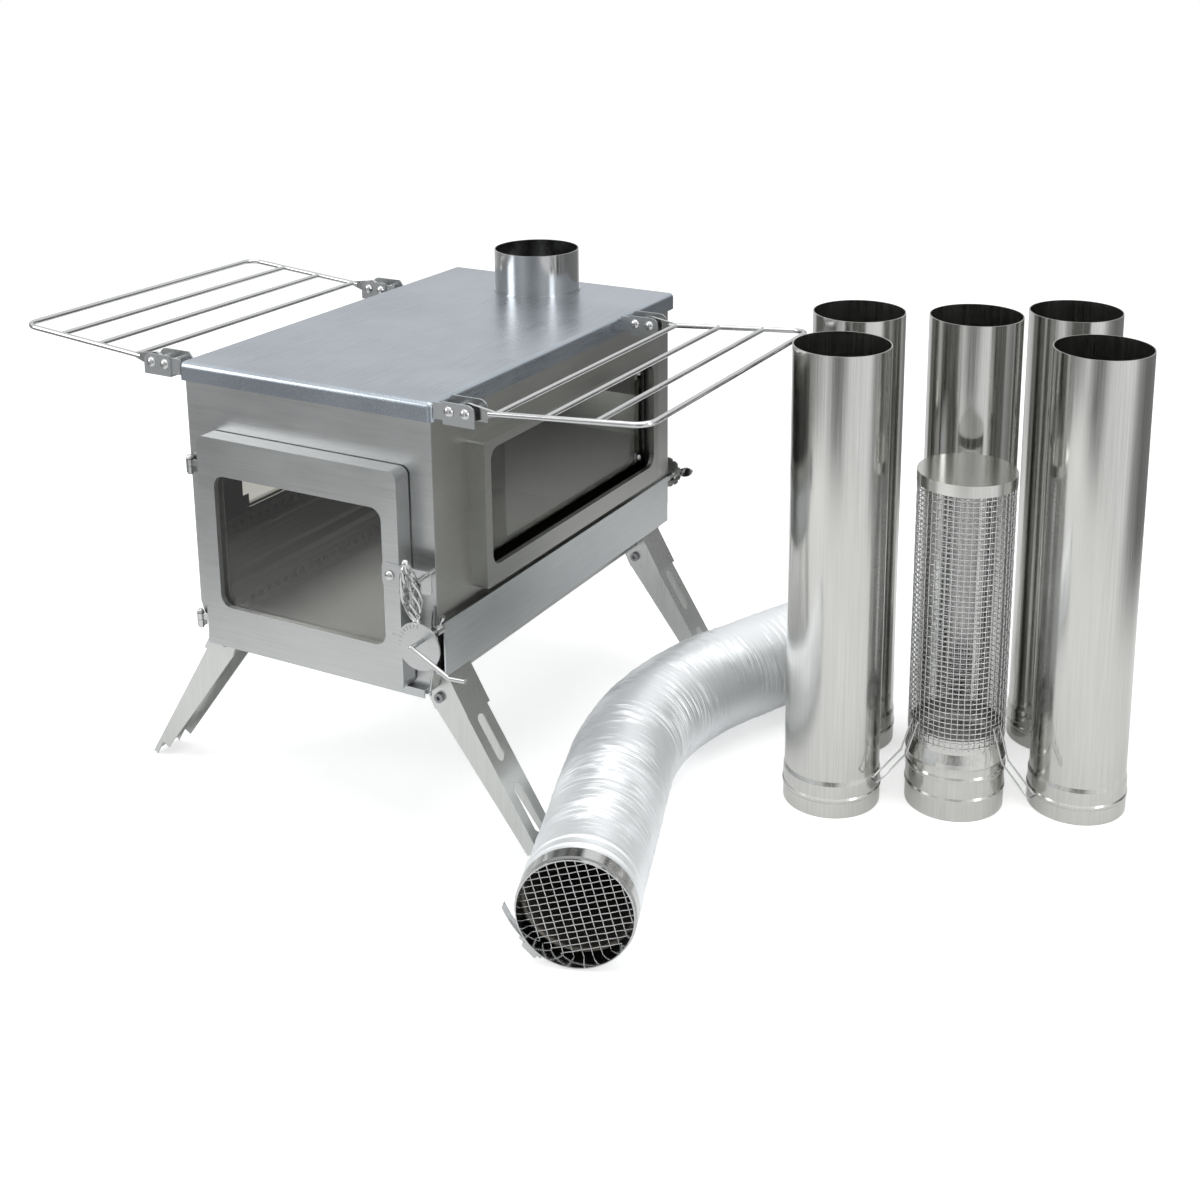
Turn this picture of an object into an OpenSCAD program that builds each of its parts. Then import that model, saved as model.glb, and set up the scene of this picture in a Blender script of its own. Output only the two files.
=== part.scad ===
/* [Body] */
// Width of the firebox body
body_w = 268; // [255:1:285]
// Length of the firebox body, front to back
body_l = 430; // [415:1:450]
// Height of the firebox walls
body_h = 266; // [256:1:285]
// Height of the underside above the floor
body_z0 = 155; // [152:1:162]
// How far each wall leans in at the bottom
keel_in = 12; // [9:1:14]
// Height over which the walls lean in at the bottom
keel_h = 35; // [32:1:45]
// Thickness of the sheet steel
sheet = 1.5; // [1.2:0.1:1.8]
// Height of the firebox floor above the underside
floor_rise = 29; // [26:1:32]
// How far the ash lip stands out in front
lip_out = 6; // [4:0.5:8]
// Height of the ash lip
lip_h = 8; // [6:0.5:9]

/* [Lid] */
// Overhang of the lid at the sides
lid_side = 4.2; // [3:0.1:6]
// Overhang of the lid at the front
lid_front = 4; // [3:0.1:6]
// Overhang of the lid at the back
lid_back = 8; // [4:0.5:10]
// Depth of the lid's rim
lid_rim = 17; // [14:0.5:20]
// Radius of the lid's rounded edges
lid_r = 5; // [3:0.5:6]

/* [Flue] */
// Outside diameter of the flue collar and of the pipe sections
flue_d = 89; // [84:1:92]
// Wall of the flue collar and the pipe sections
flue_wall = 1; // [0.8:0.1:1.2]
// Height of the flue collar above the lid
collar_h = 44; // [38:1:50]
// Distance of the collar's axis behind the middle of the body
collar_y = 172; // [160:1:174]
// Length of one pipe section
pipe_l = 443; // [420:1:460]
// Length of the widened lower end of a pipe section
socket_l = 35; // [28:1:40]
// Height of the stop bead above a pipe's lower end
bead_z = 17; // [14:0.5:20]
// Running clearance between a socket and the pipe inside it
socket_gap = 0.1; // [0.05:0.05:0.2]

/* [Door] */
// Width of the door
door_w = 219; // [212:1:220]
// Height of the door
door_h = 200; // [192:1:206]
// Depth of the door's folded edge
door_d = 17.7; // [16:0.1:19]
// Offset of the door's middle to the latch side
door_x = 0.5; // [-1:0.5:1.5]
// Height of the door's lower edge above the underside of the body
door_up = 7; // [6:0.5:9]
// Radius of the door's corners
door_r = 8; // [6:0.5:10]
// Width of the door's opening
view_w = 184; // [176:1:190]
// Height of the door's opening
view_h = 126; // [118:1:130]
// Height of the opening above the door's lower edge
view_up = 39; // [36:1:44]
// Radius of the opening's corners
view_r = 11; // [8:0.5:14]
// Thickness of the glass panes
glass_t = 4; // [3:0.5:5]

/* [Side windows] */
// Length of the side window frame
win_l = 322; // [305:1:330]
// Height of the side window frame
win_h = 135; // [128:1:137]
// Depth of the side window frame
win_d = 18; // [15:0.5:20]
// Height of the frame's lower edge above the underside of the body
win_up = 83; // [80:1:87]
// Offset of the window's middle towards the front
win_y = 2; // [0:0.5:6]
// Width of the frame's face at the ends
win_end = 10; // [8:0.5:12]
// Width of the frame's face along the top
win_top = 8; // [7:0.5:11]
// Width of the frame's face along the bottom
win_bottom = 18; // [14:0.5:20]

/* [Racks] */
// Diameter of the rack wire
wire_d = 5; // [4:0.5:5.5]
// Reach of a rack from its pivot to the outer wire
rack_reach = 167; // [150:1:180]
// Length of a rack along the body
rack_l = 322; // [300:1:325]
// Number of bars inside a rack
rack_bars = 3; // [2:1:4]
// Angle by which an open rack rises outwards
rack_rise = 4.6; // [0:0.2:6]

/* [Legs] */
// Angle of the legs from the upright
leg_splay = 32; // [28:1:34]
// Width of a leg over its two flanges
leg_w = 31.4; // [28:0.2:32]
// Distance of the leg's outer face from its bolt
leg_out = 15.8; // [15:0.1:16.2]
// Distance of the front bolts' bracket face behind the body's front
leg_back = 17; // [14:1:22]

/* [Air control] */
// Width of the duct on the latch side
duct_w = 7.5; // [7:0.1:9]
// Height of the duct's lower edge above the underside of the body
duct_up = 20.5; // [19:0.5:23]
// Height of the duct
duct_h = 49.5; // [46:0.5:54]
// Diameter of the control rod
rod_d = 4.4; // [3.8:0.1:4.6]
// Diameter of the dial plate
dial_d = 43.5; // [40:0.5:44]
// Outside diameter of the air inlet at the back
inlet_d = 89; // [84:1:92]
// Length of the air inlet
inlet_l = 32; // [25:1:40]

/* [Air hose] */
// Outside diameter of the hose
hose_d = 100; // [97:1:101]
// Depth of the hose's ribs
rib_depth = 1; // [0.6:0.1:1.6]
// Outside diameter of the hose's end collars
end_d = 97; // [93:1:98]
// Length of the hose's end collars
end_l = 22; // [20:1:30]

/* [Spark arrestor] */
// Outside diameter of the arrestor's base
arr_d = 92; // [90:1:94]
// Height of the arrestor
arr_h = 327; // [310:1:340]
// Height of the arrestor's solid base
arr_base_h = 80; // [74:1:86]
// Height of the cap's rim
cap_h = 11; // [9:0.5:14]

/* [Hidden] */
$fn = 48;

// Steps in each modelled corner arc
bend_n = 5;
// Gap left between pieces that move past each other
play = 0.3;
// Overlap that carries a cut clean through a face
thru = 1;

hw = body_w/2;
hl = body_l/2;
kw = hw - keel_in;
top_z = body_z0 + body_h;
lid_top = top_z + sheet;
front_y = -hl;

// Room the walls leave for the rounding inside the lid's corners
lid_in = lid_r - sheet;
lid_seat = lid_in + 0.01 - sqrt(pow(lid_in, 2) - pow(max(0, lid_in - lid_side + sheet), 2)
    - pow(max(0, lid_in - lid_front + sheet), 2));
wall_top = top_z - lid_seat;

// Outline of the body seen from the front
body_outline = [
    [-kw, body_z0 + sheet], [kw, body_z0 + sheet], [hw, body_z0 + keel_h],
    [hw, wall_top], [-hw, wall_top], [-hw, body_z0 + keel_h]
];
floor_z = body_z0 + floor_rise;

door_x0 = door_x - door_w/2;
door_x1 = door_x + door_w/2;
door_z0 = body_z0 + door_up;
door_z1 = door_z0 + door_h;
door_gap = 1.3;
door_back = front_y - door_gap;
door_face = door_back - door_d;
view_x0 = door_x + 0.5 - view_w/2;
view_x1 = view_x0 + view_w;
view_z0 = door_z0 + view_up;
view_z1 = view_z0 + view_h;
mouth_in = 6;
lip_bend = 5;

hinge_x = 2.5 - hw;
hinge_y = front_y - 4.2;
eye_r = 3.6;
eye_h = 6;
hinge_pin_r = 1.5;
hinge_head_r = 3.3;
hinge_rows = [door_z1 - 37, door_z0 + 12];

win_z0 = body_z0 + win_up;
win_z1 = win_z0 + win_h;
win_y0 = -win_l/2 - win_y;
win_y1 = win_l/2 - win_y;
open_y0 = win_y0 + win_end;
open_y1 = win_y1 - win_end;
open_z0 = win_z0 + win_bottom;
open_z1 = win_z1 - win_top;
wall_in = 3;

latch_x = door_x1 - 8.7;
latch_z = door_z0 + 107;
latch_l = 43;
latch_h = 21;
pin_x = hw - 3;
pin_r = 2.6;
pin_l = 22;

rod_x = hw + sheet*2 + 0.2;
rod_z = body_z0 + 64.5;
rod_r = rod_d/2;
dial_dx = -5;
dial_dz = -7;
dial_y = front_y - 26;
dial_t = 1.5;
rod_front = front_y - 43;
rod_rear = hl + 19;
arm_l = 41.5;
arm_angle = 27;
arm_tip = 17;

bolt_x = hw - 12;
bolt_z = body_z0 - 11;
bolt_r = 3;
br_w = 35;
leg_rows = [front_y + leg_back, hl - leg_back - br_w];

pivot_x = hw + 37;
pivot_z = top_z - 3.5;
cheek_y = [front_y - 3, front_y - 3 + rack_l];
cheek_gap = 21.5;
ear_in = 7;

// Places of the loose pieces beside the stove
pipe_spots = [
    [hw + 264, hl - 172], [hw + 234.5, hl - 53.5], [hw + 339, hl - 17], [hw + 419, hl + 42],
    [hw + 473.5, hl - 77]
];
arr_spot = [hw + 369, hl - 124];

// Route of the hose: start, heading, first run, bend radius, bend angle and last run
hose_start = [hw + 178, hl - 496.9];
hose_dir = 110;
hose_run_a = 202;
hose_bend_r = 300;
hose_bend_a = 43;
hose_run_b = 174;
hose_z = hose_d/2 + 0.3;
hose_ribs = 120;
hose_sides = 8;

c_satin = "#a9adb0";
c_lid = "#9aa3aa";
c_dark = "#6f7476";
c_bright = "#d2d5d6";
c_pipe = "#8f9294";
c_foil = "#dfe3e6";
c_glass = [0.55, 0.55, 0.48, 0.35];

function arc(cx, cy, r, a0, a1, n) =
    [for (i = [0:n]) [cx + r*cos(a0 + (a1 - a0)*i/n), cy + r*sin(a0 + (a1 - a0)*i/n)]];
function rounded(x0, y0, x1, y1, r) = concat(
    arc(x1 - r, y0 + r, r, -90, 0, bend_n), arc(x1 - r, y1 - r, r, 0, 90, bend_n),
    arc(x0 + r, y1 - r, r, 90, 180, bend_n), arc(x0 + r, y0 + r, r, 180, 270, bend_n));

// Extrude a front-view outline between two depths
module along_y(y0, y1) {
    translate([0, y1, 0])
        rotate([90, 0, 0])
            linear_extrude(y1 - y0)
                children();
}

// Extrude a side-view outline between two widths
module along_x(x0, x1) {
    translate([x0, 0, 0])
        rotate([90, 0, 90])
            linear_extrude(x1 - x0)
                children();
}

module flip(s) {
    if (s < 0)
        mirror([1, 0, 0])
            children();
    else
        children();
}

module rod_y(x, z, y0, y1, r) {
    translate([x, y1, z])
        rotate([90, 0, 0])
            cylinder(h = y1 - y0, r = r);
}

module rod_between(a, b, r) {
    d = b - a;
    l = norm(d);
    translate(a)
        rotate([0, acos(d[2]/l), atan2(d[1], d[0])])
            cylinder(h = l, r = r);
}

// Domed rivet head standing on a plane, along +Z
module dome(r, h) {
    rotate_extrude()
        polygon(concat([[0, 0]], [for (a = [0:15:90]) [r*cos(a), h*sin(a)]]));
}

module ring(r_out, r_in, h) {
    difference() {
        cylinder(h = h, r = r_out, $fn = 96);
        translate([0, 0, -thru])
            cylinder(h = h + 2*thru, r = r_in, $fn = 96);
    }
}

// Block with its top edges and its corners rounded, the top at z = 0
module soft_block(x0, x1, y0, y1, h, r) {
    translate([x0 + r, y0 + r, -h])
        cube([x1 - x0 - 2*r, y1 - y0 - 2*r, h]);
    translate([x0, y0 + r, -h])
        cube([x1 - x0, y1 - y0 - 2*r, h - r]);
    translate([x0 + r, y0, -h])
        cube([x1 - x0 - 2*r, y1 - y0, h - r]);
    for (x = [x0 + r, x1 - r], y = [y0 + r, y1 - r]) {
        translate([x, y, -h])
            cylinder(h = h - r, r = r);
        translate([x, y, -r])
            sphere(r = r);
    }
    for (x = [x0 + r, x1 - r])
        translate([x, y1 - r, -r])
            rotate([90, 0, 0])
                cylinder(h = y1 - y0 - 2*r, r = r);
    for (y = [y0 + r, y1 - r])
        translate([x0 + r, y, -r])
            rotate([0, 90, 0])
                cylinder(h = x1 - x0 - 2*r, r = r);
}

// Side wall with the hole behind the window
module side_wall(s) {
    color(c_dark)
        flip(s)
            difference() {
                along_y(-hl + sheet, hl - sheet)
                    polygon([
                        [kw, body_z0 + sheet], [hw, body_z0 + keel_h], [hw, wall_top],
                        [hw - sheet, wall_top], [hw - sheet, body_z0 + keel_h],
                        [kw - sheet, body_z0 + sheet]
                    ]);
                along_x(hw - 2*sheet, hw + sheet)
                    polygon(rounded(open_y0 + wall_in, open_z0 + wall_in,
                        open_y1 - wall_in, open_z1 - wall_in, view_r - wall_in));
            }
}

module front_panel() {
    color(c_satin)
        difference() {
            along_y(-hl, -hl + sheet)
                polygon(body_outline);
            along_y(-hl - sheet, -hl + 2*sheet)
                polygon(rounded(view_x0 - mouth_in, floor_z + sheet,
                    view_x1 + mouth_in, view_z1 + mouth_in, view_r));
        }
}

module back_panel() {
    color(c_satin)
        difference() {
            along_y(hl - sheet, hl)
                polygon(body_outline);
            translate([0, hl + sheet, inlet_z])
                rotate([90, 0, 0])
                    cylinder(h = 3*sheet, r = inlet_d/2 - flue_wall, $fn = 96);
        }
}
inlet_z = body_z0 + inlet_d/2 + 5;

// Bottom sheet with the folded lip below the door
module base_tray() {
    z0 = body_z0 - 2;
    z1 = z0 + lip_h;
    y0 = -hl - lip_out;
    color(c_satin)
        along_x(-kw, kw)
            polygon([
                [y0, z0], [y0 + sheet, z0], [y0 + sheet, z1 - sheet], [-hl - sheet, z1 - sheet],
                [-hl - sheet, body_z0], [hl, body_z0], [hl, body_z0 + sheet],
                [-hl, body_z0 + sheet], [-hl, z1], [y0, z1]
            ]);
}

liner_x = hw - 42;

// Raised firebox floor between the two liners
module firebox_floor() {
    color(c_satin) {
        translate([-liner_x - 2, -hl + sheet, floor_z - sheet])
            cube([2*liner_x + 4, body_l - baffle_d - sheet, sheet]);
        for (s = [-1, 1])
            translate([s*liner_x/2 - sheet, -hl + sheet + 20, body_z0 + sheet])
                cube([2*sheet, body_l - baffle_d - 60, floor_rise - 2*sheet]);
    }
}
baffle_d = 34;

// Inner back wall that keeps the air space clear
module rear_baffle() {
    x = wall_x(floor_z) - sheet - play;
    z = floor_z + body_h/3;
    run = baffle_d - 2*sheet;
    color(c_satin)
        along_x(-x, x)
            polygon([
                [hl - baffle_d, floor_z], [hl - baffle_d + sheet, floor_z],
                [hl - baffle_d + sheet, z], [hl - sheet, z + run],
                [hl - sheet, z + run + 1.414*sheet], [hl - baffle_d, z + 0.414*sheet]
            ]);
}

// Stepped liner with its two rows of air holes, seen from the front
liner_t = 1.2;
liner_out = hw - sheet - play - liner_t;
liner_pts = [
    [liner_x, 0], [liner_x, 18], [liner_x + 11, 18], [liner_x + 15, 22], [liner_x + 15, 32],
    [liner_x + 21, 33], [liner_out - 7, 54], [liner_out, 57], [liner_out, 72]
];
liner_y0 = -hl + sheet + play;
liner_y1 = hl - baffle_d - play;
hole_d = 6.5;
hole_pitch = 12;
hole_n = floor((liner_y1 - liner_y0 - hole_d)/hole_pitch);
hole_y0 = (liner_y0 + liner_y1 - hole_pitch*(hole_n - 1))/2;
low_hole_z = 9;
high_hole_z = 64;

module liner(s) {
    up = [for (p = liner_pts) [p[0], floor_z + p[1]]];
    down = [for (i = [len(liner_pts) - 1:-1:0])
        [liner_pts[i][0] + liner_t, floor_z + liner_pts[i][1] - (i == 0 ? 0 : liner_t)]];
    color(c_dark)
        flip(s)
            difference() {
                along_y(liner_y0, liner_y1)
                    polygon(concat(up, down));
                for (i = [0:hole_n - 1],
                     h = [[liner_x, low_hole_z], [liner_out, high_hole_z]])
                    translate([h[0] - 3*liner_t, hole_y0 + i*hole_pitch, floor_z + h[1]])
                        rotate([0, 90, 0])
                            cylinder(h = 6*liner_t, r = hole_d/2, $fn = 24);
            }
}

module lid() {
    color(c_lid)
        translate([0, 0, lid_top])
            difference() {
                soft_block(-hw - lid_side, hw + lid_side, -hl - lid_front, hl + lid_back,
                    lid_rim, lid_r);
                translate([0, 0, -sheet])
                    soft_block(-hw - lid_side + sheet, hw + lid_side - sheet,
                        -hl - lid_front + sheet, hl + lid_back - sheet,
                        lid_rim, lid_r - sheet);
                translate([0, collar_y, -lid_r])
                    cylinder(h = 2*lid_r, r = flue_d/2 - flue_wall, $fn = 96);
            }
}

module flue_collar() {
    color(c_bright)
        translate([0, collar_y, lid_top]) {
            ring(flue_d/2, flue_d/2 - flue_wall, collar_h);
            difference() {
                ring(flue_d/2 + 1.4, flue_d/2 - flue_wall, 1.2);
                translate([0, 0, -thru])
                    cylinder(h = collar_h, r = flue_d/2 - flue_wall, $fn = 96);
            }
        }
}

// Duct along the latch side, open at the top for the control rod
module side_duct() {
    x1 = hw + duct_w;
    z0 = body_z0 + duct_up;
    z1 = z0 + duct_h;
    color(c_satin)
        difference() {
            along_y(-hl + 0.2, hl - 15)
                polygon([
                    [hw - 10, z0], [x1, z0], [x1, z1], [x1 - sheet, z1],
                    [x1 - sheet, z0 + sheet], [hw - 10, z0 + sheet]
                ]);
            along_y(-hl - thru, hl)
                polygon([
                    [0, body_z0 + sheet], [kw, body_z0 + sheet], [hw, body_z0 + keel_h],
                    [hw, top_z], [0, top_z]
                ]);
        }
}

win_mid = (win_y0 + win_y1)/2;

// Folded frame that holds a side window off the wall
module window_frame(s) {
    color(c_dark)
        flip(s)
            difference() {
                along_x(hw, hw + win_d)
                    polygon(rounded(win_y0, win_z0, win_y1, win_z1, 3));
                along_x(hw - thru, hw + win_d - sheet)
                    polygon(rounded(win_y0 + sheet, win_z0 + sheet,
                        win_y1 - sheet, win_z1 - sheet, 2));
                along_x(hw, hw + win_d + thru)
                    polygon(rounded(open_y0, open_z0, open_y1, open_z1, view_r));
            }
    color(c_dark)
        flip(s)
            difference() {
                along_x(hw + win_d - lip_bend, hw + win_d)
                    polygon(rounded(open_y0 - sheet, open_z0 - sheet,
                        open_y1 + sheet, open_z1 + sheet, view_r + sheet));
                along_x(hw, hw + win_d + thru)
                    polygon(rounded(open_y0, open_z0, open_y1, open_z1, view_r));
            }
}

pane_in = 5;
module window_glass(s) {
    color(c_glass)
        flip(s)
            along_x(hw, hw + glass_t)
                polygon(rounded(win_y0 + pane_in, win_z0 + pane_in,
                    win_y1 - pane_in, win_z1 - pane_in, 2));
}

clip_in = 9;
clip_w = 12;
module window_clips() {
    color(c_bright)
        for (s = [-1, 1], y = [open_y0 + clip_in, open_y1 - clip_in],
             z = [open_z0 + clip_in, open_z1 - clip_in])
            flip(s) {
                translate([hw + glass_t, y - clip_w/2, z - clip_w/2])
                    cube([sheet, clip_w, clip_w]);
                translate([hw + glass_t + sheet, y, z])
                    rotate([0, 90, 0])
                        dome(3.2, 2);
            }
}

module door_frame() {
    color(c_satin) {
        difference() {
            along_y(door_face, door_back)
                polygon(rounded(door_x0, door_z0, door_x1, door_z1, door_r));
            along_y(door_face + sheet, door_back + thru)
                polygon(rounded(door_x0 + sheet, door_z0 + sheet,
                    door_x1 - sheet, door_z1 - sheet, door_r - sheet));
            along_y(door_face - thru, door_back)
                polygon(rounded(view_x0, view_z0, view_x1, view_z1, view_r));
            rod_y(latch_x, latch_z, door_face - thru, door_face + sheet + thru, 2.5);
            translate([door_x1 - 9, door_face - thru, door_z0 + 53])
                cube([5, thru + 0.4, 0.9]);
        }
        difference() {
            along_y(door_face, door_face + lip_bend)
                polygon(rounded(view_x0 - sheet, view_z0 - sheet,
                    view_x1 + sheet, view_z1 + sheet, view_r + sheet));
            along_y(door_face - thru, door_back)
                polygon(rounded(view_x0, view_z0, view_x1, view_z1, view_r));
        }
    }
}

pane_y = door_face + lip_bend;
module door_glass() {
    color(c_glass)
        along_y(pane_y, pane_y + glass_t)
            polygon(rounded(view_x0 - 7, view_z0 - 7, view_x1 + 7, view_z1 + 7, 3));
}

// Clips with their screws that hold the door's pane from inside
module door_clips() {
    color(c_bright)
        for (x = [view_x0 + 30, view_x1 - 30], z = [view_z0 - 7, view_z1 + 7]) {
            up = z > view_z1 ? 1 : -1;
            translate([x - 7, pane_y + glass_t, min(z - 5*up, z + 9*up)])
                cube([14, sheet, 14]);
            translate([x - 7, door_face + sheet, min(z + 0.4*up, z + 9*up)])
                cube([14, pane_y + glass_t - door_face - sheet, 8.6]);
            translate([x, pane_y + glass_t + sheet, z + 4.5*up])
                rotate([-90, 0, 0])
                    dome(3, 1.8);
        }
}

module eye(z, h) {
    translate([hinge_x, hinge_y, z])
        ring(eye_r, hinge_pin_r + 0.1, h);
}

// Door halves of the two hinges
module door_hinge_eyes() {
    color(c_bright)
        for (z = hinge_rows) {
            eye(z + play, eye_h);
            difference() {
                translate([hinge_x, hinge_y - sheet/2, z + play])
                    cube([door_x0 - hinge_x, sheet, eye_h]);
                translate([hinge_x, hinge_y, z - thru])
                    cylinder(h = eye_h + 3*thru, r = hinge_pin_r + 0.1);
            }
        }
}

// Body halves of the two hinges with their headed pins
module hinge_brackets() {
    color(c_bright)
        for (z = hinge_rows) {
            difference() {
                union() {
                    translate([hinge_x, hinge_y, z - eye_h])
                        cylinder(h = eye_h, r = eye_r);
                    translate([hinge_x, hinge_y, z - eye_h])
                        translate([-eye_r, 0, 0])
                        cube([2*eye_r, front_y - hinge_y, eye_h]);
                }
                translate([hinge_x, hinge_y, z - eye_h - thru])
                    cylinder(h = eye_h + 2*thru, r = hinge_pin_r - 0.2);
            }
            translate([hinge_x, hinge_y, z - eye_h - 2])
                cylinder(h = 2*eye_h + 2 + 2*play, r = hinge_pin_r);
            translate([hinge_x, hinge_y, z + eye_h + 2*play])
                dome(hinge_head_r, 4);
            translate([hinge_x, hinge_y, z - eye_h - 2])
                cylinder(h = 2, r = hinge_head_r - 0.8);
        }
}

plate_y = door_face - play - sheet;
// How far the catch pin moves across the slot while the plate is lifted off it
pin_arm = pin_x - latch_x;
pin_shift = pin_arm - sqrt(pow(pin_arm, 2) - pow(latch_h/2 + pin_r, 2));

module latch_plate() {
    color(c_satin)
        difference() {
            along_y(plate_y, plate_y + sheet)
                polygon(rounded(latch_x - 8, latch_z - latch_h/2 + 0.5,
                    latch_x - 8 + latch_l + 8, latch_z + latch_h/2 + 0.5, 4));
            rod_y(latch_x, latch_z, plate_y - thru, plate_y + sheet + thru, 2.6);
            rod_y(pin_x, latch_z + 1, plate_y - thru, plate_y + sheet + thru, pin_r + play);
            along_y(plate_y - thru, plate_y + sheet + thru)
                polygon([
                    [pin_x - pin_r - play, latch_z + 1], [pin_x + pin_r + play, latch_z + 1],
                    [pin_x + pin_r + play, latch_z - latch_h],
                    [pin_x - pin_r - play - pin_shift, latch_z - latch_h],
                    [pin_x - pin_r - play - pin_shift, latch_z - latch_h/2 - pin_r]
                ]);
        }
}

module latch_rivet() {
    color(c_bright) {
        rod_y(latch_x, latch_z, plate_y - play, door_face + sheet, 2.5);
        translate([latch_x, plate_y - play, latch_z])
            rotate([90, 0, 0])
                dome(4.6, 2.8);
    }
}

// Cage handle: bars that wind once round a core between two caps
grip_a = [hw + 7, latch_z + 29];
grip_b = [hw + 15.6, latch_z - 18.5];
grip_y = hl + 51;
post = [hw + 6, latch_z + 8];
post_r = 2.2;
post_l = 4;
grip_l = norm(grip_b - grip_a);
grip_bars = 7;
grip_r = 6.6;
grip_turn = -170;
bar_r = 1.4;
bar_n = 14;
bar_sides = 6;

function cage_point(k, t) =
    let (a = 360*k/grip_bars + grip_turn*t, r = grip_r*pow(sin(180*t), 0.8) + 1.2)
    [r*cos(a), r*sin(a), grip_l*t];
function unit(v) = v/norm(v);
function tube_points(path, r, sides) = [
    for (i = [0:len(path) - 1])
        let (
            t = unit(path[min(i + 1, len(path) - 1)] - path[max(i - 1, 0)]),
            u = unit(cross(t, abs(t[2]) > 0.9 ? [1, 0, 0] : [0, 0, 1])),
            v = cross(t, u)
        )
        for (j = [0:sides - 1])
            path[i] + r*(cos(360*j/sides)*u + sin(360*j/sides)*v)
];
function tube_faces(n, s) = concat(
    [for (i = [0:n - 2], j = [0:s - 1]) [i*s + j, (i + 1)*s + j, (i + 1)*s + (j + 1)%s]],
    [for (i = [0:n - 2], j = [0:s - 1]) [i*s + j, (i + 1)*s + (j + 1)%s, i*s + (j + 1)%s]],
    [[for (j = [0:s - 1]) j]],
    [[for (j = [s - 1:-1:0]) (n - 1)*s + j]]);

module latch_handle() {
    tilt = atan2(grip_b[0] - grip_a[0], grip_a[1] - grip_b[1]);
    color(c_bright) {
        translate([grip_a[0], -grip_y, grip_a[1]])
            rotate([0, 180 - tilt, 0]) {
                for (k = [0:grip_bars - 1])
                    polyhedron(
                        tube_points([for (i = [0:bar_n]) cage_point(k, i/bar_n)], bar_r,
                            bar_sides),
                        tube_faces(bar_n + 1, bar_sides));
                cylinder(h = grip_l, r = 1.6);
                translate([0, 0, -1])
                    sphere(r = 3.4);
                translate([0, 0, grip_l + 1])
                    sphere(r = 3.4);
            }
        rod_y(post[0], post[1], plate_y - post_l, plate_y, post_r);
        translate([post[0], plate_y - post_l, post[1]])
            sphere(r = post_r + 0.12);
        rod_between([post[0], plate_y - post_l, post[1]],
            [grip_a[0] + (grip_a[1] - post[1])*tan(tilt), -grip_y, post[1]], post_r);
    }
}

module catch_pin() {
    color(c_bright) {
        rod_y(pin_x, latch_z + 1, front_y - pin_l, front_y, pin_r);
        translate([pin_x, front_y - pin_l, latch_z + 1])
            rotate([90, 0, 0])
                dome(pin_r, 1.2);
    }
}

collar_r = 4.5;
collar_l = 9;

// Bearings that carry the control rod at the front and the back
module rod_collars() {
    color(c_bright)
        for (y0 = [front_y - collar_l, hl])
            difference() {
                rod_y(rod_x, rod_z, y0, y0 + collar_l, collar_r);
                rod_y(rod_x, rod_z, y0 - thru, y0 + collar_l + thru, rod_r + 0.05);
                if (y0 < 0)
                    translate([rod_x, y0 + collar_l/2, rod_z])
                        rotate([0, screw_lean, 0])
                            cylinder(h = 2*collar_r, r = 1.5);
            }
}
screw_lean = 22;

module thumb_screw() {
    color(c_bright)
        translate([rod_x, front_y - collar_l/2, rod_z])
            rotate([0, screw_lean, 0])
                translate([0, 0, rod_r + play]) {
                    cylinder(h = 9, r = 1.5);
                    translate([0, 0, 9])
                        cylinder(h = 4, r = 2.6);
                }
}

// Control rod with its bent arm
module air_rod() {
    tip = [rod_x + arm_l*cos(arm_angle), rod_front, rod_z - arm_l*sin(arm_angle)];
    color(c_bright) {
        rod_y(rod_x, rod_z, rod_front, rod_rear, rod_r);
        translate([rod_x, rod_front, rod_z])
            sphere(r = rod_r + 0.12);
        rod_between([rod_x, rod_front, rod_z], tip, rod_r);
        translate(tip)
            sphere(r = rod_r + 0.12);
        rod_between(tip, tip + [arm_tip, 0, 1], rod_r);
    }
}

tick_n = 9;
tick_l = 3.5;
tick_w = 0.8;
tick_cut = 0.4;

// Round dial with engraved ticks, fixed on the rod off its middle
module dial_plate() {
    color(c_satin)
        difference() {
            rod_y(rod_x + dial_dx, rod_z + dial_dz, dial_y, dial_y + dial_t, dial_d/2);
            rod_y(rod_x, rod_z, dial_y - thru, dial_y + dial_t + thru, rod_r);
            for (i = [0:tick_n - 1])
                translate([rod_x + dial_dx, dial_y, rod_z + dial_dz])
                    rotate([0, -90 - 12*i, 0])
                        translate([dial_d/2 - tick_l - 1.5, -thru, -tick_w/2])
                            cube([tick_l, thru + tick_cut, tick_w]);
        }
}

shutter_r = 17;
shutter_teeth = 12;
shutter_dx = -9.7;
shutter_dz = 1.2;
// Notched disc on the rod's rear end
module rear_shutter() {
    y0 = hl + collar_l + play;
    color(c_dark)
        difference() {
            rod_y(rod_x + shutter_dx, rod_z + shutter_dz, y0, y0 + 2, shutter_r);
            rod_y(rod_x, rod_z, y0 - thru, y0 + 2 + thru, rod_r);
            for (i = [0:shutter_teeth - 1])
                let (a = 360*i/shutter_teeth)
                rod_y(rod_x + shutter_dx + (shutter_r + 0.5)*cos(a),
                    rod_z + shutter_dz + (shutter_r + 0.5)*sin(a), y0 - thru, y0 + 2 + thru,
                    2);
        }
}

module wing_nut() {
    y0 = hl + collar_l + play + 2;
    color(c_bright)
        difference() {
            union() {
                rod_y(rod_x, rod_z, y0, y0 + 5, 4.2);
                for (s = [-1, 1])
                    translate([rod_x + s*11, y0 + 3.6, rod_z + s*2.8])
                        rotate([90, 0, 0])
                            rotate([0, 0, 16])
                                scale([2.1, 1.2, 1])
                                    cylinder(h = 2, r = 4.2);
            }
            rod_y(rod_x, rod_z, y0 - thru, y0 + 5 + thru, rod_r);
        }
}

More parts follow.
